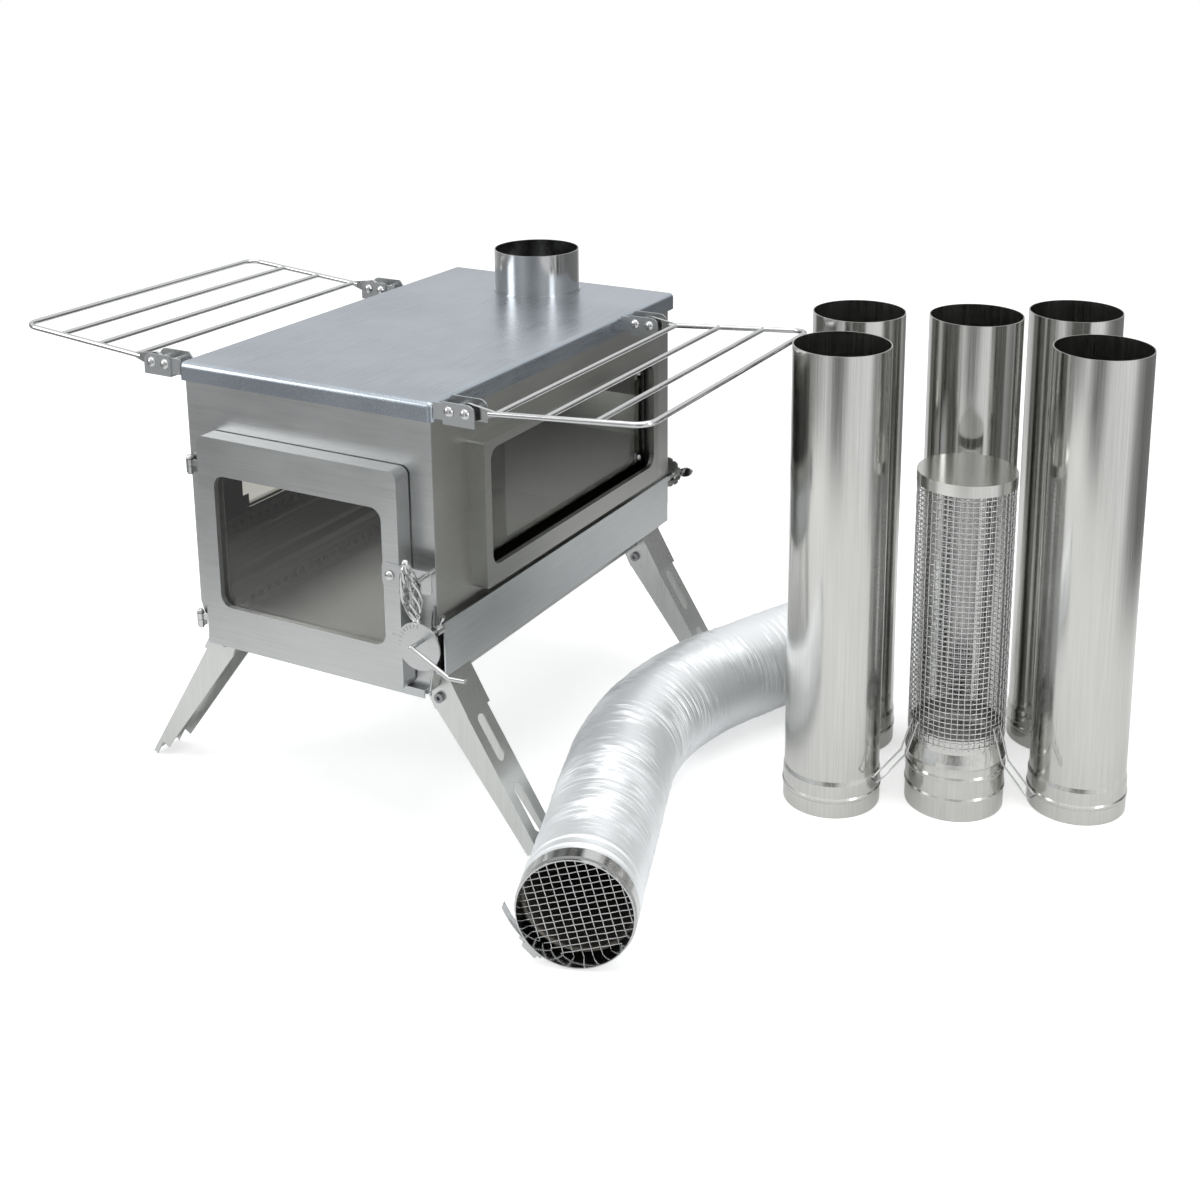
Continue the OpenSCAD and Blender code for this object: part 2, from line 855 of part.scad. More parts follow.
tether_r = 0.75;
eyelet = [hw - 21, body_z0 - 3.7];
tether = [
    [hw - 1, front_y - 0.6, body_z0 + 85], [hw - 2.4, front_y - 2, body_z0 + 81],
    [hw - 3.8, front_y - 2.2, body_z0 + 69], [hw - 5.4, front_y - 2.2, body_z0 + 25],
    [hw - 8.1, front_y - 2.2, body_z0 + 5], [hw - 12.5, front_y + 4.5, eyelet[1]],
    [hw - 20, front_y + 15, eyelet[1] - 0.4], [eyelet[0], front_y + 20.5, eyelet[1]]
];

// Thin wire from the body's corner down to the hole in the leg bracket
module tool_wire() {
    color(c_bright)
        polyhedron(tube_points(tether, tether_r, bar_sides),
            tube_faces(len(tether), bar_sides));
}

module air_inlet() {
    color(c_bright)
        translate([0, hl, inlet_z])
            rotate([-90, 0, 0]) {
                ring(inlet_d/2, inlet_d/2 - flue_wall, inlet_l);
                ring(inlet_d/2 + 3, inlet_d/2 - 0.5, 1.2);
            }
}

tab_x0 = hw + lid_side;
cheek_x0 = hw + 14.5;
cheek_x1 = hw + 46;
cheek_z0 = top_z - 15;
cheek_z1 = top_z + 4.5;
stop_x = hw + 21;
tab_x1 = stop_x + 5;

// Channel brackets on the lid's rim that carry the racks
module rack_brackets() {
    color(c_satin)
        for (s = [-1, 1], y0 = cheek_y)
            flip(s) {
                difference() {
                    union() {
                        along_y(y0, y0 + sheet)
                            polygon(concat([[cheek_x0, cheek_z0], [cheek_x1, cheek_z0]],
                                arc(cheek_x1 - 7, cheek_z1 - 7, 7, 0, 90, bend_n),
                                [[cheek_x0, cheek_z1]]));
                        along_y(y0 + cheek_gap - sheet, y0 + cheek_gap)
                            polygon(concat([[tab_x0, cheek_z0], [cheek_x1, cheek_z0]],
                                arc(cheek_x1 - 8, cheek_z1 - 8, 8, 0, 90, bend_n),
                                [[cheek_x0 - 4, cheek_z1], [tab_x0, cheek_z1 - 8]]));
                    }
                    for (x = [stop_x, pivot_x])
                        rod_y(x, pivot_z, y0 - thru, y0 + cheek_gap + thru, 2.55);
                }
                difference() {
                    along_y(y0 + sheet, y0 + 2*sheet)
                        polygon([[tab_x0, cheek_z0 + 3], [tab_x1, cheek_z0 + 3],
                            [tab_x1, cheek_z1 - 2], [tab_x0, cheek_z1 - 2]]);
                    rod_y(stop_x, pivot_z, y0 - thru, y0 + cheek_gap + thru, 2.55);
                }
                translate([cheek_x0, y0, cheek_z0])
                    cube([11, cheek_gap, sheet]);
            }
}

module rack_rivets() {
    color(c_bright)
        for (s = [-1, 1], y0 = cheek_y, x = [stop_x, pivot_x])
            flip(s) {
                rod_y(x, pivot_z, y0, y0 + cheek_gap, 2.5);
                translate([x, y0, pivot_z])
                    rotate([90, 0, 0])
                        dome(4.8, 3);
                translate([x, y0 + cheek_gap, pivot_z])
                    rotate([-90, 0, 0])
                        dome(4.8, 2.4);
            }
}

wire_r = wire_d/2;
corner_r = 14;
ear_r = 8;
ear_t = 3;
ear_l = 24;
rung_x0 = 26;

// Folding wire rack, made flat about its pivot and then set at its angle
module rack(s) {
    pitch = (rack_reach - rung_x0)/rack_bars;
    color(c_bright)
        flip(s)
            translate([pivot_x, cheek_y[0] + ear_in, pivot_z])
                rotate([0, -rack_rise, 0]) {
                    for (y = [0, rack_l]) {
                        difference() {
                            along_y(y - ear_t/2, y + ear_t/2)
                                union() {
                                    circle(r = ear_r);
                                    polygon([[0, ear_r], [ear_l, wire_r - 0.1],
                                        [ear_l, -wire_r + 0.1], [0, -ear_r]]);
                                }
                            rod_y(0, 0, y - ear_t, y + ear_t, 2.55);
                        }
                        translate([ear_l - 5, y, 0])
                            rotate([0, 90, 0])
                                cylinder(h = rack_reach - corner_r - ear_l + 5, r = wire_r);
                    }
                    translate([rack_reach - corner_r, corner_r, 0])
                        rotate([0, 0, -90])
                            rotate_extrude(angle = 90)
                                translate([corner_r, 0])
                                    circle(r = wire_r);
                    translate([rack_reach - corner_r, rack_l - corner_r, 0])
                        rotate_extrude(angle = 90)
                            translate([corner_r, 0])
                                circle(r = wire_r);
                    rod_y(rack_reach, 0, corner_r, rack_l - corner_r, wire_r);
                    for (i = [0:rack_bars - 1])
                        rod_y(rung_x0 + i*pitch, 0, 0, rack_l, wire_r - 0.15);
                }
}

br_x0 = hw - 30;
br_x1 = hw - 18;
br_low = body_z0 - 23.5;
br_slope = tan(leg_splay);
br_out = leg_out + 2*play + sheet;
// Outer face of the leg bracket at a height
function br_face(z) = bolt_x + br_out/cos(leg_splay) + br_slope*(bolt_z - z);
br_top = body_z0 + 17;

// Bent channel under the body for each leg
module leg_brackets() {
    web = sheet/cos(leg_splay);
    color(c_satin)
        for (s = [-1, 1], y0 = leg_rows)
            flip(s) {
                for (y = [y0, y0 + br_w - sheet])
                    difference() {
                        along_y(y, y + sheet)
                            polygon([
                                [br_x0, body_z0], [br_x1, br_low], [br_face(br_low), br_low],
                                [wall_x(br_top), br_top], [kw, body_z0]
                            ]);
                        rod_y(bolt_x, bolt_z, y - thru, y + sheet + thru, bolt_r + 0.05);
                        rod_y(eyelet[0], eyelet[1], y - thru, y + sheet + thru, 1.4);
                    }
                along_y(y0, y0 + br_w)
                    polygon([
                        [br_face(br_low), br_low], [wall_x(br_top) , br_top],
                        [wall_x(br_top - 3), br_top - 3], [br_face(br_low) - web, br_low]
                    ]);
            }
}
// Outer face of the leaning wall at a height
function wall_x(z) = min(hw, kw + keel_in*(z - body_z0 - sheet)/(keel_h - sheet));

module leg_bolts() {
    color(c_dark)
        for (s = [-1, 1], y0 = leg_rows)
            flip(s)
                difference() {
                    union() {
                        rod_y(bolt_x, bolt_z, y0, y0 + br_w, bolt_r);
                        rod_y(bolt_x, bolt_z, y0 - 3, y0, 4.6);
                        translate([bolt_x, y0 + br_w, bolt_z])
                            rotate([-90, 0, 0])
                                cylinder(h = 3, r = 4.8, $fn = 6);
                    }
                    translate([bolt_x, y0 - 1.2, bolt_z])
                        rotate([90, 0, 0])
                            cylinder(h = 2 + thru, r = 2.2, $fn = 6);
                }
}

toe_w = 5;
toe_l = 18;
toe_step = 8;
toe_teeth = 3;
tooth = 2;
leg_top_r = 9;
leg_len = (bolt_z + (leg_out - toe_w)*sin(leg_splay))/cos(leg_splay);
slots = [[30, 76], [98, 146]];
slot_w = 11;

// Tapering channel leg, hanging straight down from its bolt and then set at its angle
module leg(s, y0) {
    yc = y0 + br_w/2;
    flange = concat(
        [[leg_out, 3], [leg_out, -leg_len]],
        [for (i = [0:toe_teeth - 1]) each [
            [leg_out - toe_w*(i + 0.5)/toe_teeth, -leg_len + tooth],
            [leg_out - toe_w*(i + 1)/toe_teeth, -leg_len]
        ]],
        [[leg_out - toe_w, toe_l - leg_len], [leg_out - toe_w - toe_step, toe_l - leg_len],
            [-12, -9.5], [-leg_top_r, 0], [0, leg_top_r], [leg_out - 6, 8]]);
    color(c_satin)
        flip(s)
            translate([bolt_x, 0, bolt_z])
                rotate([0, -leg_splay, 0])
                    difference() {
                        union() {
                            for (y = [yc - leg_w/2, yc + leg_w/2 - sheet])
                                along_y(y, y + sheet)
                                    polygon(flange);
                            translate([leg_out - sheet, yc - leg_w/2, -leg_len])
                                cube([sheet, leg_w, leg_len + 3]);
                        }
                        rod_y(0, 0, yc - leg_w, yc + leg_w, bolt_r + 0.1);
                        for (k = slots)
                            along_x(leg_out - 2*sheet, leg_out + sheet)
                                polygon(rounded(yc - slot_w/2, -k[1], yc + slot_w/2, -k[0],
                                    slot_w/2 - 0.1));
                        for (i = [0:toe_teeth + 4])
                            translate([leg_out - 2*sheet, yc - leg_w/2 + 2.4 + i*3.8, -leg_len])
                                rotate([0, 90, 0])
                                    cylinder(h = 3*sheet, r = 1.4, $fn = 4);
                    }
}

// One straight section of chimney pipe with its widened lower end
module pipe_section(i) {
    r = flue_d/2;
    rs = r + socket_gap + flue_wall;
    w = flue_wall;
    b = 0.9;
    color(c_pipe)
        translate([pipe_spots[i][0], pipe_spots[i][1], 0])
            rotate_extrude($fn = 96)
                polygon([
                    [rs, 0], [rs, bead_z - 2.5], [rs + b, bead_z - 1], [rs + b, bead_z + 1],
                    [rs, bead_z + 2.5], [rs, socket_l - 3], [r, socket_l + 1], [r, pipe_l],
                    [r - w, pipe_l], [r - w, socket_l], [rs - w, socket_l - 4], [rs - w, 0]
                ]);
}

neck_r = arr_d/2 - 2.2;
module arrestor_base() {
    r = arr_d/2;
    w = flue_wall;
    b = 0.9;
    color(c_pipe)
        translate([arr_spot[0], arr_spot[1], 0])
            rotate_extrude($fn = 96)
                polygon([
                    [r, 0], [r, 17], [r + b, 19], [r + b, 21], [r, 23], [r, 38], [r + b, 40],
                    [r + b, 42], [r, 44], [r, 50], [r + b, 53], [r, 57],
                    [neck_r, 66], [neck_r, arr_base_h],
                    [neck_r - w, arr_base_h], [neck_r - w, 65], [r - w, 56], [r - w, 0]
                ]);
}

mesh_t = 0.9;
mesh_r = neck_r + mesh_t;
mesh_z0 = arr_base_h - 9;
mesh_rows = 15;
mesh_cols = 10;
strand = 1.2;

// Wire screen of the arrestor with its square gaps
module arrestor_mesh() {
    z1 = arr_h - cap_h;
    dz = (z1 - arr_base_h - strand)/mesh_rows;
    gap = 2*PI*mesh_r/(2*mesh_cols) - strand;
    color(c_bright)
        translate([arr_spot[0], arr_spot[1], 0])
            difference() {
                translate([0, 0, mesh_z0])
                    ring(mesh_r, mesh_r - mesh_t, z1 - mesh_z0);
                for (k = [0:mesh_rows - 1], a = [0:mesh_cols - 1])
                    rotate([0, 0, a*180/mesh_cols])
                        translate([-2*mesh_r, -gap/2, arr_base_h + strand + k*dz])
                            cube([4*mesh_r, gap, dz - strand]);
            }
}

module arrestor_cap() {
    color(c_pipe)
        translate([arr_spot[0], arr_spot[1], arr_h - cap_h])
            difference() {
                cylinder(h = cap_h, r = mesh_r + 0.7, $fn = 96);
                translate([0, 0, -sheet])
                    cylinder(h = cap_h, r = mesh_r - 0.3, $fn = 96);
            }
}

clip_r = 0.8;
clip_gap = 9;
clip_path = [[1.1, 0], [12.5, -30], [41, -51], [44.5, -52]];
clip_top = 90;
clip_dirs = [232, -21];

// Sprung wire clip hanging beside the arrestor
module arrestor_clip(i) {
    side = [for (p = clip_path) [mesh_r + p[0], clip_gap/2, clip_top + p[1]]];
    other = [for (k = [len(side) - 1:-1:0]) [side[k][0], -side[k][1], side[k][2]]];
    loop = concat(side, other);
    color(c_bright)
        translate([arr_spot[0], arr_spot[1], 0])
            rotate([0, 0, clip_dirs[i]]) {
                polyhedron(tube_points(loop, clip_r, bar_sides),
                    tube_faces(len(loop), bar_sides));
                rod_y(mesh_r + clip_path[0][0] + 0.1, clip_top, -clip_gap/2 - 0.3,
                    clip_gap/2 + 0.3, clip_r);
            }
}

hose_arc = 2*PI*hose_bend_r*hose_bend_a/360;
hose_len = hose_run_a + hose_arc + hose_run_b;
function hose_at(t) =
    t <= hose_run_a
        ? concat(hose_start + t*[cos(hose_dir), sin(hose_dir)], [hose_dir])
        : t <= hose_run_a + hose_arc
            ? let (
                a = (t - hose_run_a)/hose_bend_r*180/PI,
                p = hose_start + hose_run_a*[cos(hose_dir), sin(hose_dir)],
                c = p + hose_bend_r*[sin(hose_dir), -cos(hose_dir)]
              )
              concat(c + hose_bend_r*[-sin(hose_dir - a), cos(hose_dir - a)], [hose_dir - a])
            : let (
                b = hose_at(hose_run_a + hose_arc),
                u = t - hose_run_a - hose_arc
              )
              concat([b[0], b[1]] + u*[cos(b[2]), sin(b[2])], [b[2]]);
function hose_ring(t, r) =
    let (q = hose_at(t))
    [for (j = [0:hose_sides - 1])
        let (a = 360*j/hose_sides)
        [q[0] + r*sin(a)*sin(q[2]), q[1] - r*sin(a)*cos(q[2]), hose_z - r*cos(a)]];

hose_wall = 1.5;
core_n = 20;

// Ribbed air hose with its bore, one closed skin
module hose_duct() {
    rib = hose_len/hose_ribs;
    r = hose_d/2;
    outer = [for (i = [0:hose_ribs]) each concat(
        i == 0 ? [[0, r - rib_depth]] : [],
        i < hose_ribs ? [[(i + 0.5)*rib, r]] : [],
        [[min((i + 1)*rib, hose_len), r - rib_depth]])];
    runs = [for (k = [0:2*hose_ribs]) outer[k]];
    inner = [for (i = [core_n:-1:0]) [i*hose_len/core_n, r - rib_depth - hose_wall]];
    all = concat(runs, inner);
    n = len(all);
    pts = [for (k = all) each hose_ring(k[0], k[1])];
    s = hose_sides;
    color(c_foil)
        polyhedron(pts, [for (i = [0:n - 1], j = [0:s - 1]) each [
            [i*s + j, ((i + 1)%n)*s + j, ((i + 1)%n)*s + (j + 1)%s],
            [i*s + j, ((i + 1)%n)*s + (j + 1)%s, i*s + (j + 1)%s]
        ]]);
}

// Place along the hose with +Z running on along it, +X to the right and +Y down
module at_hose(t) {
    q = hose_at(t);
    translate([q[0], q[1], hose_z])
        rotate([0, 0, q[2] - 90])
            rotate([-90, 0, 0])
                children();
}

module hose_ends() {
    color(c_bright) {
        at_hose(0)
            translate([0, 0, -end_l])
                ring(end_d/2, end_d/2 - 1, end_l);
        at_hose(hose_len)
            ring(end_d/2, end_d/2 - 1, end_l);
    }
}

screen_pitch = 6.6;
screen_n = 13;
screen_in = 14;
screen_turn = -15;

// Flat wire screen across the mouth of the hose
module hose_screen() {
    m = end_d/2 - 1;
    color(c_bright)
        at_hose(0)
            translate([0, 0, -end_l + screen_in])
                linear_extrude(1)
                    difference() {
                        circle(r = m, $fn = 96);
                        rotate(screen_turn)
                            for (i = [0:screen_n - 1], j = [0:screen_n - 1])
                                let (
                                    x = (i - (screen_n - 1)/2)*screen_pitch,
                                    y = (j - (screen_n - 1)/2)*screen_pitch
                                )
                                if (norm([x, y]) < m - 5)
                                    translate([x, y])
                                        square(screen_pitch - 0.8, center = true);
                    }
}

strap_w = 12;
strap_t = 1.2;
module clamp(side) {
    translate([0, 0, side > 0 ? 6 : -6 - strap_w]) {
        ring(end_d/2 + strap_t, end_d/2, strap_w);
        rotate(135)
            translate([end_d/2 + strap_t - 0.2, -8, 1])
                cube([7, 15, strap_w - 2]);
        rotate(135)
            translate([end_d/2 + strap_t + 3.5, 12, strap_w/2])
                rotate([90, 0, 0])
                    cylinder(h = 24, r = 2.6);
        rotate(135)
            translate([end_d/2 + strap_t + 1.2, 5, 1.5])
                linear_extrude(strap_w - 3)
                    polygon(concat(
                        [for (t = [0:6:36]) [-t*t/180, t]],
                        [for (t = [36:-6:0]) [0.8 - t*t/180, t]]
                    ));
    }
}

module hose_clamps() {
    color(c_bright) {
        at_hose(0)
            clamp(-1);
        at_hose(hose_len)
            clamp(1);
    }
}

side_wall(-1);  // side_wall_left
side_wall(1);  // side_wall_right
front_panel();
back_panel();
base_tray();
firebox_floor();
rear_baffle();
lid();
flue_collar();
side_duct();
liner(-1);  // liner_left
liner(1);  // liner_right
window_frame(-1);  // window_frame_left
window_frame(1);  // window_frame_right
window_glass(-1);  // window_glass_left
window_glass(1);  // window_glass_right
window_clips();
door_frame();
door_glass();
door_clips();
door_hinge_eyes();
hinge_brackets();
latch_plate();
latch_rivet();
latch_handle();
catch_pin();
rod_collars();
thumb_screw();
air_rod();
dial_plate();
rear_shutter();
wing_nut();
tool_wire();
air_inlet();
rack_brackets();
rack_rivets();
rack(-1);  // rack_left
rack(1);  // rack_right
leg_brackets();
leg_bolts();
leg(-1, leg_rows[0]);  // leg_front_left
leg(1, leg_rows[0]);  // leg_front_right
leg(-1, leg_rows[1]);  // leg_rear_left
leg(1, leg_rows[1]);  // leg_rear_right
pipe_section(0);  // pipe_1
pipe_section(1);  // pipe_2
pipe_section(2);  // pipe_3
pipe_section(3);  // pipe_4
pipe_section(4);  // pipe_5
arrestor_base();
arrestor_mesh();
arrestor_cap();
arrestor_clip(0);  // arrestor_clip_left
arrestor_clip(1);  // arrestor_clip_right
hose_duct();
hose_ends();
hose_screen();
hose_clamps();
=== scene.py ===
# %% [markdown]
# # A tent wood stove with its chimney, spark arrestor and air hose
# The stove is folded from stainless steel sheet. The CAD frame already holds every rigid
# piece in metres, at the size worked out from the photo. So this lesson loads that frame,
# sets the camera where the photographer stood, and gives each piece the finish of its
# steel, glass or foil. Crumpled foil and woven wire, which would be too heavy for the
# solids, are modelled here.

# %% Load the frame
import bpy
import math
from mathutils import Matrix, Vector, noise


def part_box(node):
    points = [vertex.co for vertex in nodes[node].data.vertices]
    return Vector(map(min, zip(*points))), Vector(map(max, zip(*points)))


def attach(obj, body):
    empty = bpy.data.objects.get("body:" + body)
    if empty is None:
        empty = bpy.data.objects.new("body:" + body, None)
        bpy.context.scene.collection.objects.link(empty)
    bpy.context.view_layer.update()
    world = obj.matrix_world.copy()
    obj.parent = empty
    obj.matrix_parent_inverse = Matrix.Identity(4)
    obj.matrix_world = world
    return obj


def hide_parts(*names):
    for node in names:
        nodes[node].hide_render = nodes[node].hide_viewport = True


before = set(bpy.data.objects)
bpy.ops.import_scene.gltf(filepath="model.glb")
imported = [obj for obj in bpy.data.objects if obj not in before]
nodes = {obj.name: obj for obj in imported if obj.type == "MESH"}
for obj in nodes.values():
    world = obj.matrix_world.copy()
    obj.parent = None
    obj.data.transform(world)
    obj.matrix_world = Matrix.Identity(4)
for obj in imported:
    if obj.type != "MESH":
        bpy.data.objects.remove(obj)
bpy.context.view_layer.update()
bpy.ops.object.select_all(action='DESELECT')
print("CAD nodes:", len(nodes))

# %% [markdown]
# ## The camera
# The picture was taken from in front of the stove, a little to its right and above it. A
# long lens from 1.8 m away keeps the box from looking stretched. The lens is shifted down
# and to the left, as on a view camera, so the camera looks down less steeply and the
# uprights lean less. The Standard view transform keeps white paper white.

# %% Camera
CAMERA_PLACE = (0.9241, -1.3103, 0.8387)
CAMERA_AZIMUTH, CAMERA_ELEVATION = 27.44, 13.76
LENS_MM, SENSOR_MM = 50.49, 36
SHIFT_X, SHIFT_Y = -0.0552, -0.252

def aim_back(azimuth, elevation):
    """Direction from what is seen towards the camera, for two angles in degrees."""
    a, e = math.radians(azimuth), math.radians(elevation)
    return Vector((math.sin(a)*math.cos(e), -math.cos(a)*math.cos(e), math.sin(e)))

bpy.ops.object.camera_add(location=CAMERA_PLACE)
camera = bpy.context.object
camera.name = "photo_camera"
view_line = -aim_back(CAMERA_AZIMUTH, CAMERA_ELEVATION)
camera.rotation_euler = view_line.to_track_quat('-Z', 'Y').to_euler()
camera.data.sensor_width = SENSOR_MM
camera.data.lens = LENS_MM
camera.data.shift_x = SHIFT_X
camera.data.shift_y = SHIFT_Y
bpy.context.scene.camera = camera
bpy.context.scene.view_settings.view_transform = 'Standard'
print("camera:", tuple(round(v, 3) for v in camera.location))

# %% [markdown]
# ## Colours and nodes
# Colours are written as the hex values a paint program shows. Blender's shaders work in
# linear light, so one function turns each hex value into linear numbers. Another small
# function adds a shader node, sets its inputs and makes its links in one line, which keeps
# each material short enough to read.

# %% Helpers for materials
def linear(hex_value):
    """A hex colour as linear red, green, blue and alpha."""
    parts = [int(hex_value[i:i + 2], 16)/255 for i in (1, 3, 5)]
    return tuple(c/12.92 if c <= 0.04045 else ((c + 0.055)/1.055)**2.4 for c in parts) + (1,)

def add_node(tree, kind, inputs=None, links=None, **settings):
    """Add a shader node with its settings, input values and incoming links."""
    made = tree.nodes.new(kind)
    for key, value in settings.items():
        setattr(made, key, value)
    for key, value in (inputs or {}).items():
        made.inputs[key].default_value = value
    for key, socket in (links or {}).items():
        tree.links.new(socket, made.inputs[key])
    return made

def start_material(name):
    """A new material with its node tree and its main shader."""
    material = bpy.data.materials.new(name)
    material.use_nodes = True
    tree = material.node_tree
    shader = tree.nodes["Principled BSDF"]
    return material, tree, shader

def dress(material, *names):
    """Give the named CAD nodes one material."""
    for name in names:
        mesh = nodes[name].data
        mesh.materials.clear()
        mesh.materials.append(material)
    print(material.name, "on", len(names), "nodes")

# %% [markdown]
# ## Stainless steel sheet
# The body, door and legs are stainless steel with a fine satin finish. Rolling and brushing
# leave long, faint lines in one direction. To the eye they give soft streaks and a broad,
# blurred highlight. The real lines are too fine to show, so they are drawn here about 1 mm
# apart. A slow cloud of noise adds the handling marks that make one part of a sheet a
# little duller than the next. The sheets get slightly different greys, and the lid is
# smoother, which was chosen until each one came near its brightness in the photo.

# %% Satin sheet steel
LINE_STRETCH = 60
BUMP_HEIGHT = 0.0005

def sheet_steel(name, light, dark, rough, along, line_mm=1.1, streak=0.5, bump=0.02):
    """Steel with lines along one axis, between a light and a dark grey."""
    material, tree, shader = start_material(name)
    where = add_node(tree, "ShaderNodeTexCoord")
    fine, long = 1000/line_mm, 1000/(line_mm*LINE_STRETCH)
    scale = [fine, fine, fine]
    scale["xyz".index(along)] = long
    lines_at = add_node(tree, "ShaderNodeMapping", {"Scale": scale},
                        {"Vector": where.outputs["Object"]})
    lines = add_node(tree, "ShaderNodeTexNoise",
                     {"Scale": 1.0, "Detail": 3.0, "Roughness": 0.6},
                     {"Vector": lines_at.outputs[0]})
    cloud = add_node(tree, "ShaderNodeTexNoise",
                     {"Scale": 9.0, "Detail": 4.0, "Roughness": 0.55},
                     {"Vector": where.outputs["Object"]})
    mixed = add_node(tree, "ShaderNodeMix", {"Factor": streak},
                     {"A": cloud.outputs["Fac"], "B": lines.outputs["Fac"]})
    tone = add_node(tree, "ShaderNodeValToRGB", None, {"Fac": mixed.outputs["Result"]})
    dark_end, light_end = tone.color_ramp.elements
    dark_end.position, light_end.position = 0.32, 0.68
    dark_end.color, light_end.color = linear(dark), linear(light)
    tree.links.new(tone.outputs[0], shader.inputs["Base Color"])
    shine = add_node(tree, "ShaderNodeMapRange",
                     {"From Min": 0.3, "From Max": 0.7,
                      "To Min": rough - 0.05, "To Max": rough + 0.07},
                     {"Value": mixed.outputs["Result"]})
    tree.links.new(shine.outputs[0], shader.inputs["Roughness"])
    relief = add_node(tree, "ShaderNodeBump", {"Strength": bump, "Distance": BUMP_HEIGHT},
                      {"Height": lines.outputs["Fac"]})
    tree.links.new(relief.outputs[0], shader.inputs["Normal"])
    shader.inputs["Metallic"].default_value = 1.0
    return material

satin_front = sheet_steel("satin_stainless_front", "#c2c4c4", "#b0b2b2", 0.33, "x")
satin_side = sheet_steel("satin_stainless_side", "#c3c6c7", "#b0b3b4", 0.34, "y")
satin_leg = sheet_steel("satin_stainless_leg", "#cfd1cf", "#bdbfbd", 0.3, "z")
lid_steel = sheet_steel("mill_finish_stainless_lid", "#b4bcc4", "#9aa2aa", 0.28, "y")
liner_steel = sheet_steel("heat_darkened_stainless_liner", "#858783", "#6d6f6c", 0.38, "y")
# The window frames are the wall's steel in a darker grey, which is painted shade.
shaded_frame_steel = sheet_steel("satin_stainless_window_frame_painted_shade", "#a9aaa7", "#999a97", 0.32, "y")
wall_steel = sheet_steel("satin_stainless_wall", "#b6b7b3", "#a6a7a3", 0.34, "y")

dress(satin_front, "front_panel", "door_frame", "latch_plate", "dial_plate", "back_panel")
dress(satin_side, "base_tray", "side_duct", "rack_brackets", "rear_baffle",
      "firebox_floor")
dress(satin_leg, "leg_brackets", "leg_front_left", "leg_front_right", "leg_rear_left",
      "leg_rear_right")
dress(lid_steel, "lid")
dress(liner_steel, "liner_left", "liner_right")
dress(wall_steel, "side_wall_left", "side_wall_right", "rear_shutter")
dress(shaded_frame_steel, "window_frame_left", "window_frame_right")

# %% [markdown]
# ## Painted shade behind the liners
# The inner face of a side wall shows through the liner's air holes, dark in the photo. One
# mesh holds both faces of a wall, so the material has to tell them apart. The stove stands
# round the origin, so on an inner face the normal points back towards x = 0, and the
# normal's x times the place's x is below zero. Where that product is under INNER_FACE, the
# steel takes a near-black colour, which is painted shade for the air space behind the liners.

# %% Painted shade
INNER_FACE = -0.03

tree = wall_steel.node_tree
shader = tree.nodes["Principled BSDF"]
tone = shader.inputs["Base Color"].links[0].from_socket
face = add_node(tree, "ShaderNodeNewGeometry")
normal_x = add_node(tree, "ShaderNodeVectorMath", {1: (1, 0, 0)},
                    {0: face.outputs["Normal"]}, operation='MULTIPLY')
outward = add_node(tree, "ShaderNodeVectorMath", None,
                   {0: normal_x.outputs[0], 1: face.outputs["Position"]},
                   operation='DOT_PRODUCT')
inside = add_node(tree, "ShaderNodeMath", {1: INNER_FACE}, {0: outward.outputs["Value"]},
                  operation='LESS_THAN')
# Painted shade: a near-black colour on the wall's inner faces.
shade_painted_colour = add_node(tree, "ShaderNodeMix", {"B": linear("#2c2c2a")},
                  {"Factor": inside.outputs[0], "A": tone}, data_type='RGBA')
tree.links.new(shade_painted_colour.outputs["Result"], shader.inputs["Base Color"])
print("painted_inner_shade in", wall_steel.name)

# %% [markdown]
# ## Polished pieces
# Rivets, wire racks, the cage handle and the flue collar are bright stainless steel. Bright
# steel has no look of its own: it shows what stands round it. So the material is simple, a
# metal of low roughness with a few faint wipe marks, and the studio does the rest. The leg
# bolts are a darker, rougher steel.

# %% Bright steel
def bright_steel(name, light, rough):
    """Steel of one grey, with faint wipe marks in its roughness."""
    material, tree, shader = start_material(name)
    where = add_node(tree, "ShaderNodeTexCoord")
    marks = add_node(tree, "ShaderNodeTexNoise",
                     {"Scale": 60.0, "Detail": 5.0, "Roughness": 0.6},
                     {"Vector": where.outputs["Object"]})
    shine = add_node(tree, "ShaderNodeMapRange",
                     {"From Min": 0.35, "From Max": 0.7,
                      "To Min": rough - 0.03, "To Max": rough + 0.06},
                     {"Value": marks.outputs["Fac"]})
    tree.links.new(shine.outputs[0], shader.inputs["Roughness"])
    shader.inputs["Base Color"].default_value = linear(light)
    shader.inputs["Metallic"].default_value = 1.0
    return material

bright = bright_steel("polished_stainless", "#c2c3c3", 0.13)
screw_steel = bright_steel("dark_screw_steel", "#8b8d8f", 0.3)
dress(bright, "flue_collar", "window_clips", "door_clips", "door_hinge_eyes",
      "hinge_brackets", "latch_rivet", "latch_handle", "catch_pin", "rod_collars",
      "thumb_screw", "air_rod", "wing_nut", "tool_wire", "air_inlet", "rack_rivets",
      "rack_left", "rack_right", "arrestor_clip_left", "arrestor_clip_right",
      "hose_ends", "hose_clamps", "hose_screen", "arrestor_mesh")
dress(screw_steel, "leg_bolts")

# %% [markdown]
# ## Chimney pipe
# Each pipe section is a sheet rolled round and joined down one side. Its bright rolled
# finish reflects the studio in long upright bands, with faint upright rolling lines. The
# function for sheet steel makes it too, with a low roughness and upright lines.

# %% Rolled pipe steel
pipe_steel = sheet_steel("rolled_bright_pipe", "#d0d0cd", "#c0c0bd", 0.15, "z",
                         line_mm=1.4, streak=0.75, bump=0.01)
dress(pipe_steel, "pipe_1", "pipe_2", "pipe_3", "pipe_4", "pipe_5", "arrestor_base",
      "arrestor_cap")
